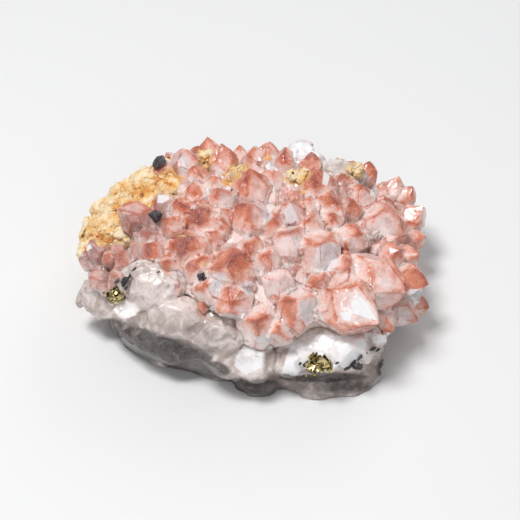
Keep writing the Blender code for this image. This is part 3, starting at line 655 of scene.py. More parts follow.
class Look:
    """A Principled material and what is needed to build its nodes in one line each."""

    def __init__(self, name):
        self.material = bpy.data.materials.new(name)
        self.material.use_nodes = True
        self.tree = self.material.node_tree
        self.shader = self.tree.nodes["Principled BSDF"]
        self.place = self.tree.nodes.new("ShaderNodeTexCoord").outputs["Object"]

    def put(self, socket, thing):
        if isinstance(thing, bpy.types.NodeSocket):
            self.tree.links.new(thing, socket)
        elif isinstance(thing, tuple) and len(thing) == 3 and socket.type == "RGBA":
            socket.default_value = (*thing, 1.0)
        else:
            socket.default_value = thing

    def set(self, name, thing):
        self.put(self.shader.inputs[name], thing)

    def node(self, kind, output, inputs, **settings):
        node = self.tree.nodes.new("ShaderNode" + kind)
        for name, value in settings.items():
            setattr(node, name, value)
        for name, thing in inputs.items():
            self.put(node.inputs[name], thing)
        return node.outputs[output]

    def value(self, name):
        return self.node("Attribute", "Fac", {}, attribute_name=name)

    def noise(self, size, detail=3.0, roughness=0.55, distortion=0.0):
        """Noise around 0.5 whose features are about size millimetres across."""
        inputs = {"Vector": self.place, "Scale": 1.0 / (size * MM), "Detail": detail}
        inputs.update(Roughness=roughness, Distortion=distortion)
        return self.node("TexNoise", "Fac", inputs)

    def cells(self, size, output="Distance"):
        return self.node("TexVoronoi", output, {"Vector": self.place, "Scale": 1.0 / (size * MM)})

    def math(self, operation, one, two=0.0, clamp=False):
        return self.node("Math", 0, {0: one, 1: two}, operation=operation, use_clamp=clamp)

    def times(self, one, two):
        return self.math("MULTIPLY", one, two)

    def add(self, *terms):
        """The sum of terms, each a number or a pair of a socket and what it is multiplied by."""
        total = 0.0
        for term in terms:
            part = self.times(*term) if isinstance(term, tuple) else term
            total = self.math("ADD", part, total)
        return total

    def span(self, thing, low, high, start=0.0, end=1.0):
        """Goes smoothly from start to end while the thing goes from low to high."""
        inputs = {"Value": thing, "From Min": low, "From Max": high, "To Min": start, "To Max": end}
        return self.node("MapRange", "Result", inputs, interpolation_type="SMOOTHSTEP")

    def ramp(self, thing, *stops):
        node = self.tree.nodes.new("ShaderNodeValToRGB")
        while len(node.color_ramp.elements) < len(stops):
            node.color_ramp.elements.new(0.5)
        for element, (place, color) in zip(node.color_ramp.elements, stops):
            element.position = place
            element.color = (*color, 1.0)
        self.put(node.inputs["Fac"], thing)
        return node.outputs["Color"]

    def mix(self, share, one, two):
        """A mix of two colours, whose sockets come after those for numbers and vectors."""
        return self.node("Mix", 2, {0: share, 6: one, 7: two}, data_type="RGBA")

    def over(self, color, tint, one, two):
        """The colour under a tint that covers it as much as the product of one and two."""
        return self.mix(self.times(one, two), color, tint)

    def vector(self, operation, inputs):
        return self.node("VectorMath", "Vector", inputs, operation=operation)

    def tilted(self, size, amount, before=None):
        """The normal turned a little in each cell, so that each catches the light in its own way."""
        start = before or self.node("NewGeometry", "Normal", {})
        off = self.vector("SUBTRACT", {0: self.cells(size, "Color"), 1: (0.5, 0.5, 0.5)})
        scaled = self.vector("SCALE", {0: off, "Scale": amount})
        turned = self.vector("ADD", {0: start, 1: scaled})
        return self.vector("NORMALIZE", {0: turned})

    def bump(self, height, strength, distance, before=None):
        """Relief whose height of 1 is distance millimetres."""
        inputs = {"Strength": strength, "Distance": distance * MM, "Height": height}
        if before is not None:
            inputs["Normal"] = before
        return self.node("Bump", "Normal", inputs)

    def translucent(self, weight, radius, scale):
        self.set("Subsurface Weight", weight)
        self.set("Subsurface Radius", radius)
        self.set("Subsurface Scale", scale)


OCHRE_STOPS = (
    (0.00, (0.24, 0.09, 0.03)),
    (0.24, (0.60, 0.23, 0.05)),
    (0.42, (0.76, 0.38, 0.10)),
    (0.60, (0.83, 0.54, 0.24)),
    (0.80, (0.89, 0.75, 0.53)),
)


def red_quartz_look():
    look = Look("red_quartz")
    blotch = look.noise(4.5, 4.0, 0.6, 0.5)
    fine = look.noise(1.1, 5.0, 0.68)
    speck = look.noise(0.40, 3.0, 0.7)
    streak = look.noise(0.9, 4.0, 0.75, 2.0)
    tone = look.value("tone")
    from_ridge = look.add((look.value("ridge"), 1.0), (fine, 0.5), (speck, 0.3), -0.38)
    edge = look.span(from_ridge, 0.42, 0.10)
    height = look.value("height")
    tip = look.times(look.span(from_ridge, 1.9, 0.2), look.span(height, 1.0, 6.5))
    groove = look.span(look.value("groove"), 2.6, 0.2)
    glint = look.span(look.value("glint"), -0.35, 0.35)
    window = look.span(look.add((look.value("window"), 0.16), (fine, 1.8), (speck, 0.8), -1.3), 0.0, 0.35)
    # Pale faces and windows, with painted highlights on small glinting faces
    white = look.add((look.value("white"), 0.50), (look.value("white_face"), 0.35))
    red = look.add((look.value("red"), 0.55), (look.value("red_face"), 0.45))
    amount = look.add(
        -0.98,
        (look.span(height, 0.5, 8.5), 0.26),
        (tone, 0.22),
        (blotch, 0.85),
        (fine, 0.60),
        (streak, 0.35),
        (look.times(tip, look.span(blotch, 0.25, 0.65, 0.25, 1.0)), 0.42),
        (red, 0.56),
        (white, -0.34),
        (groove, -0.12),
    )
    color = look.ramp(
        amount,
        (0.02, (0.90, 0.76, 0.73)),
        (0.18, (0.87, 0.62, 0.57)),
        (0.36, (0.82, 0.45, 0.37)),
        (0.54, (0.72, 0.26, 0.15)),
        (0.76, (0.60, 0.15, 0.065)),
        (1.00, (0.36, 0.08, 0.05)),
    )
    color = look.over(color, (0.52, 0.18, 0.12), look.span(speck, 0.53, 0.68), 0.50)
    color = look.over(color, (0.93, 0.80, 0.76), look.span(speck, 0.47, 0.34), 0.45)
    sugar = look.times(groove, look.span(fine, 0.32, 0.60, 0.15, 0.80))
    color = look.mix(sugar, color, (0.88, 0.69, 0.63))
    mauve = look.times(look.value("mauve"), look.span(fine, 0.25, 0.7, 0.40, 0.85))
    color = look.mix(mauve, color, (0.40, 0.205, 0.185))
    # Pale colour of the white marks, which is partly painted highlight
    color = look.over(color, (0.90, 0.80, 0.81), white, look.span(fine, 0.3, 0.65, 0.05, 0.65))
    color = look.over(color, (0.90, 0.84, 0.86), window, 0.78)
    vein = look.times(edge, look.span(blotch, 0.47, 0.60, 0.0, 0.62))
    color = look.mix(vein, color, (0.48, 0.11, 0.06))
    # Painted highlight: pale lines along the ridges, where the blotches are light
    ridge = look.times(edge, look.span(blotch, 0.49, 0.38, 0.0, 0.65))
    color = look.mix(ridge, color, (0.94, 0.80, 0.75))
    seam = look.span(look.add((look.value("red_line"), 1.0), (fine, 7.0), (speck, 3.0), -4.6), 1.9, 0.5)
    color = look.over(color, (0.52, 0.12, 0.06), seam, 0.75)
    # Painted highlight: near-white colour inside the glint outlines
    color = look.over(color, (0.96, 0.94, 0.96), glint, 0.9)
    dust = look.span(
        look.add((look.value("ochre"), 1.0), (fine, 1.3), (speck, 0.7), (groove, 0.25), -1.12), 0.30, 0.55
    )
    color = look.mix(dust, color, look.ramp(look.add((blotch, 0.6), (fine, 0.6), -0.05), *OCHRE_STOPS))
    look.set("Base Color", color)
    frost = look.add((look.value("gloss"), 0.25), (speck, 0.25), (dust, 0.45), (groove, 0.12), (glint, -0.3))
    look.set("Roughness", look.math("ADD", frost, 0.05, True))
    look.set("IOR", 1.54)
    look.set("Coat Weight", look.add(0.8, (dust, -0.8)))
    look.set("Coat Roughness", 0.05)
    look.translucent(0.5, (1.0, 0.55, 0.45), 0.0016)
    look.set("Transmission Weight", look.add(0.04, (window, 0.12)))
    grains = look.times(look.cells(0.6), look.add(0.15, (groove, 0.9)))
    relief = look.add(
        (look.noise(2.2, 3.0), 0.9), (look.noise(0.7, 3.0), 0.6), (speck, 0.25), (dust, 0.5), (grains, 1.0)
    )
    uneven = look.add(0.20, (groove, 0.30), (look.span(blotch, 0.45, 0.6), 0.16), (glint, -0.4))
    broad = look.tilted(3.4, look.math("MAXIMUM", look.add(0.20, (glint, -0.4)), 0.0))
    facing = look.tilted(1.3, look.math("MAXIMUM", uneven, 0.0), broad)
    look.set("Normal", look.bump(relief, 0.6, 0.22, facing))
    return look.material


def rock_look():
    look = Look("milky_quartz")
    cloud = look.noise(7.0, 4.0, 0.6, 0.6)
    fine = look.noise(1.3, 5.0, 0.65)
    speck = look.noise(0.32, 2.0, 0.7)
    fibre = look.noise(3.8, 4.0, 0.55, 1.0)
    block = look.span(look.add((look.value("block"), 0.2), (fine, 0.9), -0.45), 0.0, 0.35)
    # grey: clear grey quartz, which also lays painted shade on the low front
    grey = look.value("grey")
    white = look.value("white")
    # low: painted shade of the underside and of the places under the ledges
    low = look.span(look.add((look.value("low"), 1.0), (fine, 0.6), (cloud, 0.4), -0.5), 0.15, 0.75)
    color = look.ramp(
        look.add((cloud, 0.7), (fine, 0.45), (fibre, 0.35), (white, 0.32), -0.42),
        (0.10, (0.39, 0.30, 0.26)),
        (0.35, (0.57, 0.47, 0.43)),
        (0.58, (0.71, 0.61, 0.575)),
        (0.85, (0.87, 0.80, 0.78)),
    )
    color = look.over(color, (0.38, 0.31, 0.28), grey, look.span(cloud, 0.3, 0.7, 0.75, 0.35))
    # Painted shade: a near-black colour over the rock where low is strong
    dark = look.ramp(fine, (0.35, (0.024, 0.020, 0.018)), (0.68, (0.12, 0.10, 0.09)))
    color = look.over(color, dark, low, 0.92)
    stain = look.span(look.add((look.value("red"), 1.0), (fine, 0.8), (cloud, 0.5), -0.7), 0.25, 0.8)
    color = look.over(color, (0.72, 0.33, 0.25), stain, 0.8)
    rust = look.span(look.add((look.value("ochre"), 1.0), (fine, 0.9), -0.5), 0.3, 0.7)
    color = look.over(color, (0.74, 0.44, 0.18), rust, 0.75)
    # Darker close round the ore grains
    dark_near_ore = look.span(look.add((look.value("ore"), 1.0), (fine, 0.8), -0.55), 0.35, 0.7)
    color = look.over(color, (0.10, 0.08, 0.07), dark_near_ore, 0.85)
    dark_streak = look.times(look.span(fibre, 0.47, 0.36), look.span(cloud, 0.35, 0.6, 0.2, 0.55))
    color = look.mix(dark_streak, color, (0.36, 0.29, 0.27))
    # The milky veils fade where the painted shade lies
    veil = look.times(look.span(fibre, 0.46, 0.66), look.add(0.60, (low, -0.55)))
    color = look.mix(veil, color, (0.86, 0.78, 0.76))
    # Painted sparkle: pale specks, fewer where the painted shade lies
    glitter = look.times(look.span(speck, 0.55, 0.7), look.add(0.30, (low, -0.22)))
    color = look.mix(glitter, color, (0.92, 0.87, 0.85))
    color = look.over(color, (0.36, 0.29, 0.27), look.span(speck, 0.45, 0.32), 0.15)
    bright = look.times(block, look.span(cloud, 0.35, 0.60, 0.55, 0.90))
    color = look.mix(bright, color, (0.93, 0.92, 0.93))
    look.set("Base Color", color)
    look.set("Roughness", look.add(0.14, (fine, 0.30), (speck, 0.15)))
    look.set("Coat Weight", 0.4)
    look.set("Coat Roughness", 0.10)
    look.set("IOR", 1.54)
    look.translucent(0.4, (1.0, 0.8, 0.7), 0.002)
    look.set("Transmission Weight", look.times(grey, 0.12))
    relief = look.add((look.noise(2.6, 4.0), 0.9), (fine, 0.5), (look.cells(0.55), 0.25), (fibre, 0.4))
    look.set("Normal", look.bump(relief, 0.5, 0.24, look.tilted(0.9, 0.14, look.tilted(3.2, 0.26))))
    return look.material


def limonite_look():
    look = Look("limonite")
    cloud = look.noise(6.0, 4.0, 0.6)
    fine = look.noise(0.9, 5.0, 0.7)
    speck = look.noise(0.25, 2.0, 0.7)
    color = look.ramp(
        look.add(
            (cloud, 0.95), (fine, 0.50), (look.value("proud"), 0.40), (look.value("tone"), 0.12),
            (look.value("deep"), -0.34), -0.36,
        ),
        *OCHRE_STOPS,
    )
    color = look.over(color, (0.93, 0.82, 0.60), look.span(speck, 0.55, 0.75), 0.4)
    look.set("Base Color", color)
    look.set("Roughness", look.add(0.70, (fine, 0.25)))
    look.translucent(0.12, (1.0, 0.6, 0.3), 0.0012)
    look.set("Normal", look.bump(look.add((fine, 1.0), (speck, 0.5), (look.cells(0.5), 0.5)), 0.8, 0.25))
    return look.material


def pyrite_look():
    look = Look("pyrite")
    fine = look.noise(0.5, 3.0, 0.6)
    tarnish = look.noise(1.5, 3.0, 0.6)
    # Brass colour from tarnish and from each cube's or facet's own tone; the near-black and pale ends are
    # painted shade in the gaps and painted glints
    color = look.ramp(
        look.add((tarnish, 0.9), (look.value("tone"), 0.7), -0.35),
        (0.22, (0.05, 0.04, 0.02)),
        (0.40, (0.42, 0.33, 0.12)),
        (0.72, (0.86, 0.75, 0.42)),
    )
    look.set("Base Color", color)
    look.set("Metallic", 1.0)
    look.set("Roughness", look.add(0.16, (fine, 0.35)))
    look.set("Normal", look.bump(look.add((fine, 1.0), (look.noise(0.2), 0.4)), 0.4, 0.08))
    return look.material


def dark_ore_look():
    look = Look("dark_ore")
    fine = look.noise(0.5, 4.0, 0.65)
    color = look.ramp(
        look.add((look.noise(1.6, 3.0), 0.7), (look.value("tone"), 0.3)),
        (0.25, (0.012, 0.011, 0.013)),
        (0.60, (0.055, 0.05, 0.055)),
        (0.90, (0.16, 0.14, 0.13)),
    )
    look.set("Base Color", color)
    look.set("Roughness", look.add(0.18, (fine, 0.4)))
    look.set("Normal", look.bump(look.add((fine, 1.0), (look.cells(0.4), 0.6)), 0.6, 0.12))
    return look.material


# The pieces

def worn(points, faces, ridge_distance, depth, reach):
    """Draws points near the ridges inwards, more in some places than in others."""
    normals = point_normals(points, faces)
    chips = np.clip(0.45 + 0.8 * layered_noise(points, 3.6, 31, 2), 0.08, 1.3)
    inward = depth * chips * np.exp(-((ridge_distance / reach) ** 2))
    return points - normals * inward[:, None]


def rounded(points, faces, rounds, share):
    """Draws each point towards the middle of its neighbours by its share, so that edges grow blunt."""
    ends = sides_of(faces)
    count = np.bincount(ends[:, 0], minlength=len(points))
    for _ in range(rounds):
        sums = [np.bincount(ends[:, 0], points[ends[:, 1], k], len(points)) for k in range(3)]
        points = points + share[:, None] * (np.stack(sums, axis=1) / count[:, None] - points)
    return points


def near(distance, reach):
    return np.exp(-((distance / reach) ** 2))


def facet_marks(points, faces, facets, marks):
    """How strongly the marks cover the middle of each facet."""
    middles = np.zeros((facets.max() + 1, 3))
    normals = face_normals(points, faces)
    area = np.linalg.norm(crosses(points, faces), axis=1)
    np.add.at(middles, facets, points[faces].mean(axis=1) * area[:, None])
    total = np.bincount(facets, weights=area)
    facing = np.bincount(facets, weights=area * (normals @ TO_EYE)) / total
    return marked(middles / total[:, None], marks) * smooth_step(facing, -0.1, 0.25)


def crystal_values(points, ridges, grooves, ochre_tree, lift):
    ridge = distance_to(ridges, points)
    groove = distance_to(grooves, points)
    away = distance_to(ochre_tree, points)
    x, _ = seen_pixels(points)
    values = {
        "height": dome_height(points) + lift,
        "ridge": np.minimum(ridge, 6.0),
        "groove": np.minimum(groove, 6.0),
        "red": marked(points, RED_MARKS),
        # white: pale faces, and painted highlights on small glinting faces
        "white": marked(points, PALE_AND_GLINT_MARKS),
        "ochre": np.maximum(marked(points, OCHRE_MARKS), 0.95 * near(away, 1.3)),
        "mauve": np.clip(marked(points, MAUVE_MARKS) + 0.4 * smooth_step(x, 190.0, 110.0), 0.0, 1.2),
    }
    return ridge, values


def depth_inside(points, normals, outlines):
    """How many pixels inside the nearest outline each point is seen, negative outside or facing away."""
    x, y = seen_pixels(points)
    best = np.full(len(points), -9.0)
    for outline in outlines:
        inner = np.full(len(points), 9.0)
        for (x1, y1), (x2, y2) in zip(outline, outline[1:] + outline[:1]):
            side = (x2 - x1) * (y - y1) - (y2 - y1) * (x - x1)
            inner = np.minimum(inner, side / math.hypot(x2 - x1, y2 - y1))
        best = np.maximum(best, inner)
    return np.where(normals @ TO_EYE > 0.05, best, -9.0)


def from_lines(points, normals, chains):
    """How many pixels from the nearest line each point is seen, or far where it faces away."""
    seen = np.stack(seen_pixels(points), axis=1)
    best = np.full(len(points), 9.0)
    for chain in chains:
        for start, end in zip(chain, chain[1:]):
            start = np.array(start, float)
            along = np.array(end, float) - start
            share = np.clip((seen - start) @ along / (along @ along), 0.0, 1.0)
            best = np.minimum(best, np.linalg.norm(seen - start - share[:, None] * along, axis=1))
    return np.where(normals @ TO_EYE > 0.05, best, 9.0)


def crystal_piece(names, points, faces, ochre_tree, look, nodes, lift, wear, longest):
    """One piece of crystals, or two that meet at the split."""
    facets = facets_of(points, faces)
    rng = np.random.default_rng(5)
    count = facets.max() + 1
    facet_values = {
        "tone": rng.random(count),
        "gloss": rng.random(count),
        "red_face": facet_marks(points, faces, facets, RED_MARKS),
        "white_face": facet_marks(points, faces, facets, PALE_AND_GLINT_MARKS),
    }
    ridges, grooves = (tree_of(s) for s in edge_samples(points, faces, facets))
    points, faces, facets = refine(points, faces, facets, longest)
    ridge, values = crystal_values(points, ridges, grooves, ochre_tree, lift)
    points = rounded(points, faces, GROOVE_ROUNDS, 0.5 * near(values["groove"], GROOVE_REACH))
    normals = point_normals(points, faces)
    values["glint"] = depth_inside(points, normals, GLINTS)
    values["window"] = depth_inside(points, normals, WINDOWS)
    values["red_line"] = from_lines(points, normals, RED_LINES)
    inside = 1.0 - near(ridge, 0.5)
    relief = 0.16 * layered_noise(points, 3.2, 3) + 0.07 * layered_noise(points, 1.1, 9)
    points = worn(points + normals * (relief * inside)[:, None], faces, ridge, wear, WEAR_REACH)
    middles = np.bincount(facets, weights=points[faces][:, :, 0].mean(axis=1)) / np.bincount(facets)
    left = (middles < SPLIT)[facets]
    shares = (left, ~left) if len(names) == 2 else (left | ~left,)
    for name, keep in zip(names, shares):
        part = share_of(points, faces, facets, values, keep)
        piece(name, *part, facet_values, look, nodes, "red_quartz")


def grown(spots, growth, rng):
    """A small crystal at each spot, roughly square to the dome."""
    parts = []
    for spot in spots:
        width = rng.uniform(*growth.width)
        axis = dome_normal(spot) + np.array([rng.uniform(-growth.lean, growth.lean) for _ in range(3)])
        axis /= np.linalg.norm(axis)
        tip = spot + axis * width * rng.uniform(*growth.stand)
        parts.append(crystal_arrays(tip, axis, width, growth.length * width, rng))
    return parts


def between(values, limits):
    return (values > limits[0]) & (values < limits[1])


def small_crystal_arrays(points, faces):
    """Small crystals in the grooves between the large ones, and on the bed where it is bare."""
    rng = random.Random(21)
    facets = facets_of(points, faces)
    _, grooves = edge_samples(points, faces, facets, 35.0, 0.8)
    places = grooves[between(dome_height(grooves), GROOVE_LEVELS) & (grooves[:, 2] > GROWTH_FROM)]
    picked = np.random.default_rng(8).permutation(len(places))[: IN_GROOVES.count]
    centres = points[faces].mean(axis=1)
    bare = between(dome_height(centres), BED_LEVELS) & (centres[:, 2] > GROWTH_FROM)
    bare &= face_normals(points, faces)[:, 2] > -0.1
    spots, _ = places_on(points, faces, ON_BED.count, 23, bare * 1.0)
    return joined(grown(places[picked], IN_GROOVES, rng) + grown(spots, ON_BED, rng))


def broken(points, normals, spots, tilts, deepest):
    """How far each point sinks to lie on the lowest of the break planes near it."""
    tree = tree_of(spots)
    heights = np.empty(len(points))
    for number, (point, normal) in enumerate(zip(points, normals)):
        best = 9.0
        for _, index, _ in tree.find_n(point, BREAKS_NEAR):
            slope = max(float(normal @ tilts[index]), 0.5)
            best = min(best, float((spots[index] - point) @ tilts[index]) / slope)
        heights[number] = best
    return np.clip(heights, -deepest, 0.5)


def rock_piece(look, crust_tree, ochre_tree, ore_tree):
    points, faces = solid_of("matrix")
    spots, tilts = places_on(points, faces, ROCK_BREAKS, 33, np.ones(len(faces)))
    points, faces, whole = refine(points, faces, np.zeros(len(faces), int), on_rock)
    joint = near(distance_to(crust_tree, points), JOINT_REACH)
    rests = points[:, 2] < RESTING
    share = np.where(points[:, 2] < FOOT_HEIGHT, 0.3, 0.5) * (1.0 - joint)
    points = rounded(points, faces, ROCK_ROUNDS, share)
    normals = point_normals(points, faces)
    wave = FOOT_WAVE * layered_noise(points, 5.0, 66, 2) * near(points[:, 2], 3.0)
    points = points + normals * wave[:, None]
    points[rests, 2] = 0.0
    rng = np.random.default_rng(34)
    tilts = tilts + rng.normal(0.0, 0.16, tilts.shape)
    tilts /= np.linalg.norm(tilts, axis=1)[:, None]
    spots = spots + tilts * rng.uniform(-0.1, 0.6, len(spots))[:, None]
    sunk = broken(points, normals, spots, tilts, BREAK_DEPTH)
    relief = 0.15 + sunk + 0.16 * layered_noise(points, 2.2, 60) + 0.07 * lattice_noise(points, 0.8, 64)
    relief = relief * (1.0 - joint) + JOINT_RISE * joint
    foot = smooth_step(points[:, 2], 0.0, 2.0)
    points = points + normals * (relief * foot)[:, None]
    points[:, 2] = np.maximum(points[:, 2], 0.0)
    values = {
        "white": marked(points, ROCK_WHITE),
        # grey: clear grey quartz, and painted shade on the low front
        "grey": marked(points, ROCK_GREY_AND_SHADE),
        "red": marked(points, ROCK_RED),
        "block": depth_inside(points, normals, ROCK_BLOCKS),
        "ochre": near(distance_to(ochre_tree, points), 1.5),
        "ore": near(distance_to(ore_tree, points), 0.9),
        # Painted shade: darker towards the bottom all round, and strongest at the shade marks of the low
        # front
        "low": np.maximum(0.42 * smooth_step(points[:, 2], 9.0, 1.0), marked(points, ROCK_SHADE)),
    }
    nodes = ["matrix"]
    piece("milky_quartz_rock", points, faces, whole, values, {}, look, nodes, "milky_quartz", ALL_SMOOTH)


def lumpy(points, faces, spacing, depth, seed):
    """Swells a surface into rounded grains about spacing apart, and says how proud each point is."""
    rng = np.random.default_rng(seed)
    low, high = points.min(axis=0) - 1, points.max(axis=0) + 1
    count = int(np.prod(high - low) / spacing**3)
    middles = tree_of(rng.uniform(low, high, (count, 3)))
    share = np.clip(distance_to(middles, points) / (spacing * 0.75), 0.0, 1.0)
    proud = np.sqrt(1.0 - share**2)
    normals = point_normals(points, faces)
    return points + normals * (depth * (proud - 0.35))[:, None], proud


def limonite_piece(name, node, look, spacing, depth, longest):
    points, faces = solid_of(node)
    whole = np.zeros(len(faces), int)
    points, faces, whole = refine(points, faces, whole, lambda m: np.full(len(m), longest * COARSER))
    points = points + point_normals(points, faces) * (0.5 * layered_noise(points, 4.0, 80))[:, None]
    points, proud = lumpy(points, faces, spacing, depth, 17)
    points, finer = lumpy(points, faces, spacing * 0.45, depth * 0.35, 18)
    values = {"proud": 0.7 * proud + 0.3 * finer, "deep": marked(points, OCHRE_DEEP)}
    tone = {"tone": np.full(1, 0.5)}
    piece(name, points, faces, whole, values, tone, look, [node], "limonite", ALL_SMOOTH)


def grain_arrays(spots, normals, sizes, seed, divisions, squash=0.8):
    rng = random.Random(seed)
    ball, ball_faces = ball_arrays(divisions)
    parts = []
    for spot, normal in zip(spots, normals):
        size = rng.uniform(*sizes) * rng.uniform(0.6, 1.0)
        turn = any_turn(rng)
        shape = ball * np.array([1.0, rng.uniform(0.7, 1.0), squash * rng.uniform(0.7, 1.0)])
        shape = shape * (1.0 + 0.25 * lattice_noise(ball * 1.3 + rng.uniform(0, 30), 1.0, 7)[:, None])
        parts.append(((shape @ turn.T) * size + spot + normal * size * 0.2, ball_faces))
    return joined(parts)


def loose_piece(name, points, faces, per_shape, look, slot, sharp):
    """A piece of many small shapes, each with a tone of its own."""
    facets = np.arange(len(faces)) // per_shape
    tone = np.random.default_rng(12).random(facets.max() + 1)
    proud = np.full(len(points), 0.8)
    if sharp < ALL_SMOOTH:
        facets = np.arange(len(faces))
        tone = np.repeat(tone, per_shape)[: len(faces)]
    piece(name, points, faces, facets, {"proud": proud}, {"tone": tone}, look, [], slot, sharp)


def cube_arrays(spot, size, turn, rng):
    """A cube, a little longer one way than the others."""
    corner = np.array([[x, y, z] for x in (-1, 1) for y in (-1, 1) for z in (-1, 1)], float) / 2
    corner *= size * np.array([1.0, rng.uniform(0.8, 1.0), rng.uniform(0.8, 1.15)])
    faces = [(0, 1, 3), (0, 3, 2), (4, 6, 7), (4, 7, 5), (0, 4, 5), (0, 5, 1)]
    faces += [(2, 3, 7), (2, 7, 6), (0, 2, 6), (0, 6, 4), (1, 5, 7), (1, 7, 3)]
    return corner @ turn.T + spot, np.array(faces)


def first_seen(tree, x, y):
    """The point of the stone seen at a pixel, and its normal."""
    point, normal, _, _ = tree.ray_cast(Vector(EYE), Vector(seen_line(x, y)))
    return (None, None) if point is None else (np.array(point), np.array(normal))


def build():
    looks = {
        "quartz": red_quartz_look(),
        "rock": rock_look(),
        "limonite": limonite_look(),
        "pyrite": pyrite_look(),
        "ore": dark_ore_look(),
    }
    names = sorted(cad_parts)
    solids = {name: solid_of(name) for name in names}
    ochre_names = [n for n in names if n.startswith("ochre")]
    ore_names = [n for n in names if n.startswith(("pyrite", "dark"))]
    ochre_tree = tree_of(refined_points(joined([solids[n] for n in ochre_names])))
    ore_tree = tree_of(refined_points(joined([solids[n] for n in ore_names])))

    crust = solids["red_quartz_crystals"]
    crust_tree = tree_of(refined_points(crust))
    look = looks["quartz"]
    halves = ["red_crystals_left", "red_crystals_right"]
    nodes = ["red_quartz_crystals"]
    crystal_piece(halves, *crust, ochre_tree, look, nodes, 0.0, CRYSTAL_WEAR, on_crystals)
    small = small_crystal_arrays(*crust)
    names_of_small = ["small_crystals"]
    crystal_piece(names_of_small, *small, ochre_tree, look, [], SMALL_LIFT, SMALL_WEAR, on_small_crystals)
    rock_piece(looks["rock"], crust_tree, ochre_tree, ore_tree)

    for name in ochre_names:
        lumps = WIDE_LUMPS if name == "ochre_crust" else FINE_LUMPS
        limonite_piece("limonite_" + name, name, looks["limonite"], *lumps)
    points, faces = joined([solids[n] for n in ochre_names])
    centres = points[faces].mean(axis=1)
    spots, normals = places_on(points, faces, OCHRE_GRAINS, 3, (centres[:, 2] > 8.0) * 1.0)
    grains = grain_arrays(spots, normals, OCHRE_GRAIN_SIZE, 4, 0)
    loose_piece("limonite_grains", *grains, BALL_FACES, looks["limonite"], "limonite", ALL_SMOOTH)

    for name in names:
        if name.startswith("pyrite"):
            ore_piece(name + "_cubes", name, looks["pyrite"], "pyrite", 0.3, 0.05, 0)
            cubes = small_cubes(*solids[name], PYRITE_GRAINS, name)
            loose_piece(name + "_grains", *cubes, CUBE_FACES, looks["pyrite"], "pyrite", 30.0)
        if name.startswith("dark"):
            ore_piece(name + "_lump", name, looks["ore"], "dark_ore", 0.26, 0.42, 5)

    everything = joined(list(solids.values()))
    tree = BVHTree.FromPolygons([Vector(p) for p in everything[0]], everything[1].tolist())
    loose_piece("dark_flakes", *flake_arrays(tree), 4 * BALL_FACES, looks["ore"], "dark_ore", ALL_SMOOTH)


def refined_points(shape):
    points, faces = shape
    return refine(points, faces, np.zeros(len(faces), int), lambda m: np.full(len(m), 0.8))[0]


def ore_piece(name, node, look, slot, longest, depth, rounds):
    points, faces = solid_of(node)
    facets = facets_of(points, faces)
    ridges, _ = edge_samples(points, faces, facets, 18.0, 0.15)
    points, faces, facets = refine(points, faces, facets, lambda m: np.full(len(m), longest))
    ridge = distance_to(tree_of(ridges), points)
    points = rounded(points, faces, rounds, np.full(len(points), 0.5))
    points = points + point_normals(points, faces) * (depth * layered_noise(points, 1.1, 5))[:, None]
    points = worn(points, faces, ridge, 0.20, 0.3)
    tone = np.random.default_rng(6).random(facets.max() + 1)
    piece(name, points, faces, facets, {}, {"tone": tone}, look, [node], slot)


def small_cubes(points, faces, count, name):
    rng = random.Random(name)
    spots, normals = places_on(points, faces, count, 14, np.ones(len(faces)))
    parts = []
    for spot, normal in zip(spots, normals):
        spread = np.array([rng.gauss(0, 0.6) for _ in range(3)])
        place = spot - normal * 0.2 + spread - normal * (spread @ normal)
        parts.append(cube_arrays(place, rng.uniform(*PYRITE_SIZE), any_turn(rng), rng))
    return joined(parts)


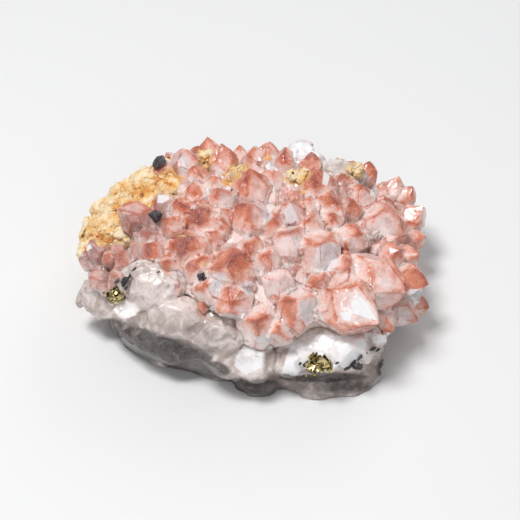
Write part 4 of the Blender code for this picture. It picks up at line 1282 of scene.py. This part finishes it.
def flake_arrays(tree):
    """Thin uneven flakes that lie on the surface where the display side shows them."""
    ball, ball_faces = ball_arrays(1)
    parts = []
    for number, flake in enumerate(FLAKES):
        point, normal = first_seen(tree, flake.x, flake.y)
        if point is None:
            continue
        along = RIGHT * math.cos(math.radians(flake.turn)) + UP_VIEW * math.sin(math.radians(flake.turn))
        along = along - normal * (along @ normal)
        along /= np.linalg.norm(along)
        side = np.cross(normal, along)
        frame_of = np.stack([along * flake.long / 2, side * flake.wide / 2, normal * FLAKE_THICKNESS])
        uneven = 1.0 + 0.45 * lattice_noise(ball * 1.2 + number * 3.1, 1.0, 15)
        parts.append(((ball * uneven[:, None]) @ frame_of + point, ball_faces))
    return joined(parts)


def studio():
    scene = bpy.context.scene
    floor_mesh = bpy.data.meshes.new("floor")
    corners = [(x * FLOOR_REACH, y * FLOOR_REACH, 0) for x, y in ((-1, -1), (1, -1), (1, 1), (-1, 1))]
    floor_mesh.from_pydata(corners, [], [(0, 1, 2, 3)])
    floor = bpy.data.objects.new("floor", floor_mesh)
    scene.collection.objects.link(floor)
    pale = bpy.data.materials.new("floor")
    pale.use_nodes = True
    pale.node_tree.nodes["Principled BSDF"].inputs["Base Color"].default_value = (0.80, 0.80, 0.80, 1.0)
    pale.node_tree.nodes["Principled BSDF"].inputs["Roughness"].default_value = 0.9
    floor_mesh.materials.append(pale)

    for name, place, size, power in (
        ("key", (-0.22, -0.14, 0.80), 0.22, 5.4),
        ("front", (0.25, -0.80, 0.45), 0.50, 0.9),
        ("back", (0.35, 0.60, 0.50), 0.50, 1.2),
    ):
        light = bpy.data.lights.new(name, "AREA")
        light.energy = power
        light.size = size
        lamp = bpy.data.objects.new(name, light)
        lamp.location = place
        lamp.rotation_euler = (Vector((0, 0, 0.02)) - Vector(place)).to_track_quat("-Z", "Y").to_euler()
        scene.collection.objects.link(lamp)

    world = bpy.data.worlds.new("studio")
    world.use_nodes = True
    world.node_tree.nodes["Background"].inputs["Color"].default_value = (0.9, 0.92, 0.95, 1.0)
    world.node_tree.nodes["Background"].inputs["Strength"].default_value = 0.33
    scene.world = world
    scene.view_settings.view_transform = "Standard"

    lens = bpy.data.cameras.new("camera")
    lens.sensor_width = 36.0
    lens.lens = 36.0 * EYE_DISTANCE / (VIEW_SIDE * PIXEL)
    camera = bpy.data.objects.new("camera", lens)
    camera.location = Vector(EYE) * MM
    camera.rotation_euler = Vector(-TO_EYE).to_track_quat("-Z", "Y").to_euler()
    scene.collection.objects.link(camera)
    scene.camera = camera


studio()
build()
